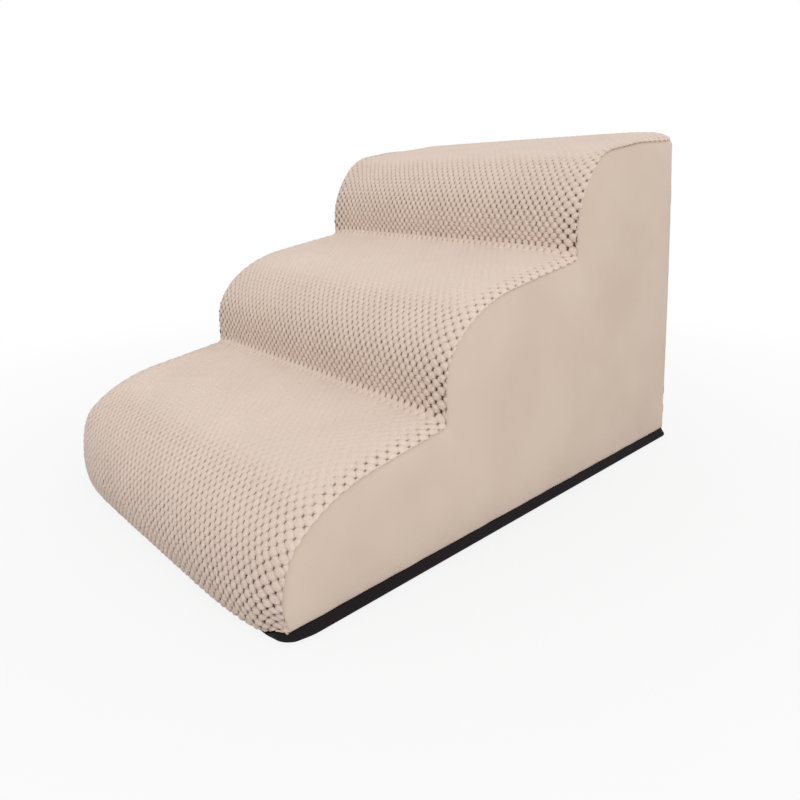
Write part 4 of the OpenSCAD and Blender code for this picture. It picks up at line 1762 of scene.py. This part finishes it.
@dataclass
class Zip:
    """The coil zip across the back: tapes, meshed coils, stops, slider and pull."""

    wire_r: float = 0.00036
    coil_pitch: float = 0.0020
    middle_z: float = 0.050
    stops_end_x: float = 0.1936
    sides: int = 6
    turn_steps: int = 12
    tape_cuts: tuple[int, int] = (140, 14)
    edge_t: float = 0.00015
    edge_w: float = 0.003
    wave: Ripple = Ripple(0.00012, (0.037, 0.061), 0.4)
    met_gap: float = 0.00008
    met_run: float = 0.003
    met_h: float = 0.006
    metal_edge: float = 0.00022
    stitch_x: float = 0.2060
    stitch_y: float = 0.29590
    stitch_z: tuple[float, float] = (0.0610, 0.0390)
    stitch_points: int = 200

    def _tape(self, name: str, node: str, wardrobe: Wardrobe) -> bpy.types.Object:
        """Makes one tape with a slightly thicker woven edge along the coil.

        Args:
            name: Name of the tape.
            node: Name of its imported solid.
            wardrobe: The finishes.

        Returns:
            The tape.
        """
        low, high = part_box(node)
        along, up = self.tape_cuts
        x = np.linspace(low.x, high.x, along)
        z = np.linspace(low.z, high.z, up)
        zz, xx = np.meshgrid(z, x, indexing="ij")
        upper = low.z > self.middle_z
        near = low.z if upper else high.z
        edge = self.edge_t * (1 - ease(np.abs(zz - near) / self.edge_w))
        wave = self.wave.height * self.wave.at(xx)
        outer = np.stack([xx, high.y + wave + edge, zz], axis=-1)
        inner = np.stack([xx, low.y + wave, zz], axis=-1)
        past_stops = ease((np.abs(xx) - self.stops_end_x) / self.met_run)
        met = self.middle_z + (self.met_gap if upper else -self.met_gap)
        drawn = (met - near) * past_stops * (1 - ease(np.abs(zz - near) / self.met_h))
        outer[..., 2] += drawn
        inner[..., 2] += drawn
        tape = closed_sheet(name, outer, inner)
        wear(tape, wardrobe.tape, Slot.TAPE, "stairs", node)
        return tape

    def coil_recipe(self, name: str, finish: bpy.types.Material, turns: float, half_z: float,
                    half_y: float, length: float) -> Recipe:
        """Makes the Geometry Nodes tree that winds a flat coil along x.

        Args:
            name: Name of the tree.
            finish: Material of the coil.
            turns: Number of loops.
            half_z: Half height of a loop.
            half_y: Half thickness of a loop.
            length: Length of the coil.

        Returns:
            The tree.
        """
        tree = Recipe(name, {"Turns": turns, "Half height": half_z, "Half thickness": half_y,
                             "Length": length, "Wire radius": self.wire_r, "Seed": 1.0}, finish)
        step = tree.put("GeometryNodeInputIndex").outputs[0]
        count = tree.put("ShaderNodeMath", {
            0: tree.size("Turns"), 1: float(self.turn_steps)}, operation="MULTIPLY")
        line = tree.put("GeometryNodeMeshLine", {"Count": int(turns * self.turn_steps) + 1},
                        mode="OFFSET", count_mode="TOTAL")
        angle = tree.math("MULTIPLY", step, 2 * math.pi / self.turn_steps)
        along = tree.math("MULTIPLY", tree.math("DIVIDE", step, count.outputs[0]),
                          tree.size("Length"))
        flat = tree.math("MULTIPLY", tree.math("SINE", angle), tree.size("Half thickness"))
        high = tree.math("MULTIPLY", tree.math("COSINE", angle), tree.size("Half height"))
        place = tree.put("ShaderNodeCombineXYZ", {"X": along, "Y": flat, "Z": high})
        wound = tree.put("GeometryNodeSetPosition", {"Geometry": line.outputs[0],
                                                     "Position": place.outputs[0]})
        curve = tree.put("GeometryNodeMeshToCurve", {"Mesh": wound.outputs[0]})
        ring = tree.put("GeometryNodeCurvePrimitiveCircle", {
            "Resolution": self.sides, "Radius": tree.size("Wire radius")})
        wire = tree.put("GeometryNodeCurveToMesh", {
            "Curve": curve.outputs[0], "Profile Curve": ring.outputs[0], "Fill Caps": True})
        tree.end(wire.outputs[0])
        return tree

    def _coil(self, name: str, node: str, wardrobe: Wardrobe, upper: bool) -> bpy.types.Object:
        """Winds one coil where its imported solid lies.

        Args:
            name: Name of the coil.
            node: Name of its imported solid.
            wardrobe: The finishes.
            upper: Whether it is the upper coil; the lower one starts half a pitch on.

        Returns:
            The coil.
        """
        low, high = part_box(node)
        shift = 0.0 if upper else self.coil_pitch / 2
        length = high.x - low.x - shift
        turns = math.floor(length / self.coil_pitch)
        half_z = (high.z - low.z) / 2 - self.wire_r
        half_y = (high.y - low.y) / 2 - self.wire_r
        made = add_object(name, bpy.data.meshes.new(name))
        self.coil_recipe(f"{name}_tree", wardrobe.coil, turns, half_z, half_y,
                         turns * self.coil_pitch).run_on(made)
        middle = Vector((low.x + shift, (low.y + high.y) / 2, (low.z + high.z) / 2))
        turn = Matrix.Identity(4) if upper else Matrix.Rotation(math.pi, 4, "X")
        made.data.transform(Matrix.Translation(middle) @ turn)
        shade_smooth(made.data)
        return wear(made, wardrobe.coil, Slot.COIL, "stairs", node)

    def dress(self, wardrobe: Wardrobe) -> list[bpy.types.Object]:
        """Builds the zip and its sewing.

        Args:
            wardrobe: The finishes.

        Returns:
            Tapes, coils, stops, slider, pull and stitches.
        """
        pieces = [self._tape("tape_upper", "zip_tape_upper", wardrobe),
                  self._tape("tape_lower", "zip_tape_lower", wardrobe),
                  self._coil("coil_upper", "zip_coil_upper", wardrobe, True),
                  self._coil("coil_lower", "zip_coil_lower", wardrobe, False)]
        for name, node, body in (("top_stops", "zip_top_stops", "stairs"),
                                 ("bottom_stop", "zip_bottom_stop", "stairs"),
                                 ("slider", "zip_slider", "slider"),
                                 ("pull_tab", "zip_pull", "pull")):
            part = copy_of_node(name, node)
            soften_edges(part, self.metal_edge)
            pieces.append(wear(part, wardrobe.metal, Slot.METAL, body, node))
        x = np.linspace(-self.stitch_x, self.stitch_x, self.stitch_points)
        for name, z in zip(("hem_stitches_upper", "hem_stitches_lower"), self.stitch_z):
            line = np.stack([x, np.full(len(x), self.stitch_y), np.full(len(x), z)], axis=1)
            pieces.append(Stitching(name, line).dress(wardrobe, Slot.SUEDE))
        return pieces


@dataclass(frozen=True)
class Lamp:
    """A square soft light."""

    name: str
    place: tuple[float, float, float]
    aim: tuple[float, float, float]
    size: float
    watts: float


@dataclass
class Studio:
    """White sweep, soft light and the camera at the photograph's angle."""

    camera_at: tuple[float, float, float] = (0.6098, -0.5254, 0.3518)
    azimuth_deg: float = 47.54
    elevation_deg: float = 10.02
    roll_deg: float = -1.25
    focal_px: float = 692.2
    centre_px: tuple[float, float] = (400.0, 288.0)
    sensor_mm: float = 36.0
    clip_start: float = 0.01
    lamps: tuple[Lamp, ...] = (
        Lamp("front_fill", (-0.30, -1.20, 1.20), (0.0, 0.0, 0.2), 1.2, 3.8),
        Lamp("side_fill", (1.70, -0.50, 0.90), (0.0, 0.0, 0.2), 1.4, 13.4))
    around: float = 0.86
    floor_half: float = 6.0
    floor_grey: float = 0.50
    floor_roughness: float = 0.9
    floor_fade: float = 0.2
    floor_white: float = 0.80

    def camera(self) -> None:
        """Sets the camera up."""
        a, e, roll = (math.radians(d) for d in (self.azimuth_deg, self.elevation_deg,
                                                self.roll_deg))
        back = Vector((math.sin(a) * math.cos(e), -math.cos(a) * math.cos(e), math.sin(e)))
        right = (-back).cross(Vector((0, 0, 1))).normalized()
        up = right.cross(-back)
        across = math.cos(roll) * right + math.sin(roll) * up
        upward = -math.sin(roll) * right + math.cos(roll) * up
        data = bpy.data.cameras.new("photo_camera")
        data.sensor_width = self.sensor_mm
        data.lens = self.focal_px / FRAME_SIDE_PX * data.sensor_width
        data.shift_x = -(self.centre_px[0] - FRAME_SIDE_PX / 2) / FRAME_SIDE_PX
        data.shift_y = (self.centre_px[1] - FRAME_SIDE_PX / 2) / FRAME_SIDE_PX
        data.clip_start = self.clip_start
        camera = bpy.data.objects.new("photo_camera", data)
        camera.matrix_world = Matrix.Translation(self.camera_at) @ Matrix(
            (across, upward, back)).transposed().to_4x4()
        bpy.context.scene.collection.objects.link(camera)
        bpy.context.scene.camera = camera

    @staticmethod
    def _hang(lamp: Lamp) -> None:
        """Hangs one of the lights.

        Args:
            lamp: The light.
        """
        data = bpy.data.lights.new(lamp.name, "AREA")
        data.size, data.energy = lamp.size, lamp.watts
        made = bpy.data.objects.new(lamp.name, data)
        toward = Vector(lamp.aim) - Vector(lamp.place)
        made.matrix_world = Matrix.Translation(lamp.place) @ toward.to_track_quat(
            "-Z", "Y").to_matrix().to_4x4()
        bpy.context.scene.collection.objects.link(made)

    @staticmethod
    def _seen(graph: Graph) -> bpy.types.NodeSocket:
        """Adds what tells the rays that are seen from the light on the object.

        Args:
            graph: Tree of the world or of the floor.

        Returns:
            An output of 1 for rays from the camera, a mirror or glass, and else of 0.
        """
        path = graph.put("ShaderNodeLightPath").outputs
        direct = graph.math("ADD", path["Is Camera Ray"], path["Is Glossy Ray"], clamp=True)
        return graph.math("ADD", direct, path["Is Transmission Ray"], clamp=True)

    def light(self) -> None:
        """Lights the object from all round, a little more from above."""
        world = bpy.data.worlds.new("studio")
        bpy.context.scene.world = world
        world.use_nodes = True
        graph = Graph(world.node_tree)
        glow = next(n for n in world.node_tree.nodes if n.type == "BACKGROUND")
        glow.inputs["Color"].default_value = (1.0, 1.0, 1.0, 1.0)
        graph.feed(glow.inputs["Strength"],
                   graph.math("MAXIMUM", self._seen(graph), self.around))
        for lamp in self.lamps:
            self._hang(lamp)

    def floor(self) -> None:
        """Lays the white floor, which keeps the object's shadow."""
        mesh = bpy.data.meshes.new("floor")
        r = self.floor_half
        mesh.from_pydata([(-r, -r, 0), (r, -r, 0), (r, r, 0), (-r, r, 0)], [], [(0, 1, 2, 3)])
        sweep = add_object("floor", mesh)
        material, graph, shader = new_material("white_floor")
        grey = self.floor_grey
        set_uniform(shader, {"Base Color": (grey, grey, grey, 1.0),
                             "Roughness": self.floor_roughness})
        place = graph.put("ShaderNodeTexCoord").outputs["Object"]
        away = graph.put("ShaderNodeVectorMath", {0: place}, operation="LENGTH").outputs["Value"]
        far = graph.math("MULTIPLY_ADD", away, self.floor_fade, self.floor_white, clamp=True)
        share = graph.math("MULTIPLY", self._seen(graph), far)
        white = graph.put("ShaderNodeEmission", {"Color": (1, 1, 1, 1), "Strength": 1.0})
        out = next(n for n in material.node_tree.nodes if n.type == "OUTPUT_MATERIAL")
        mixed = graph.put("ShaderNodeMixShader", {0: share, 1: shader.outputs[0],
                                                  2: white.outputs[0]})
        graph.feed(out.inputs["Surface"], mixed.outputs[0])
        mesh.materials.append(material)

    def build(self) -> None:
        """Sets up camera, light and floor."""
        self.camera()
        self.light()
        self.floor()
        bpy.context.scene.view_settings.view_transform = "Standard"


def main() -> None:
    """Builds the stairs in order, from the foam outwards."""
    logging.basicConfig(level=logging.INFO, format="%(message)s")
    profile = StepProfile()
    corners = Corners(profile)
    wardrobe = Wardrobe()
    Studio().build()
    FoamBlock(corners).dress(wardrobe)
    PlushCover(profile, corners).dress(wardrobe)
    for side in (1, -1):
        SidePanel(profile, corners, side).dress(wardrobe)
    BackPanels(profile, corners).dress(wardrobe)
    BaseCloth(profile, corners).dress(wardrobe)
    Zip().dress(wardrobe)


if __name__ == "__main__":
    main()
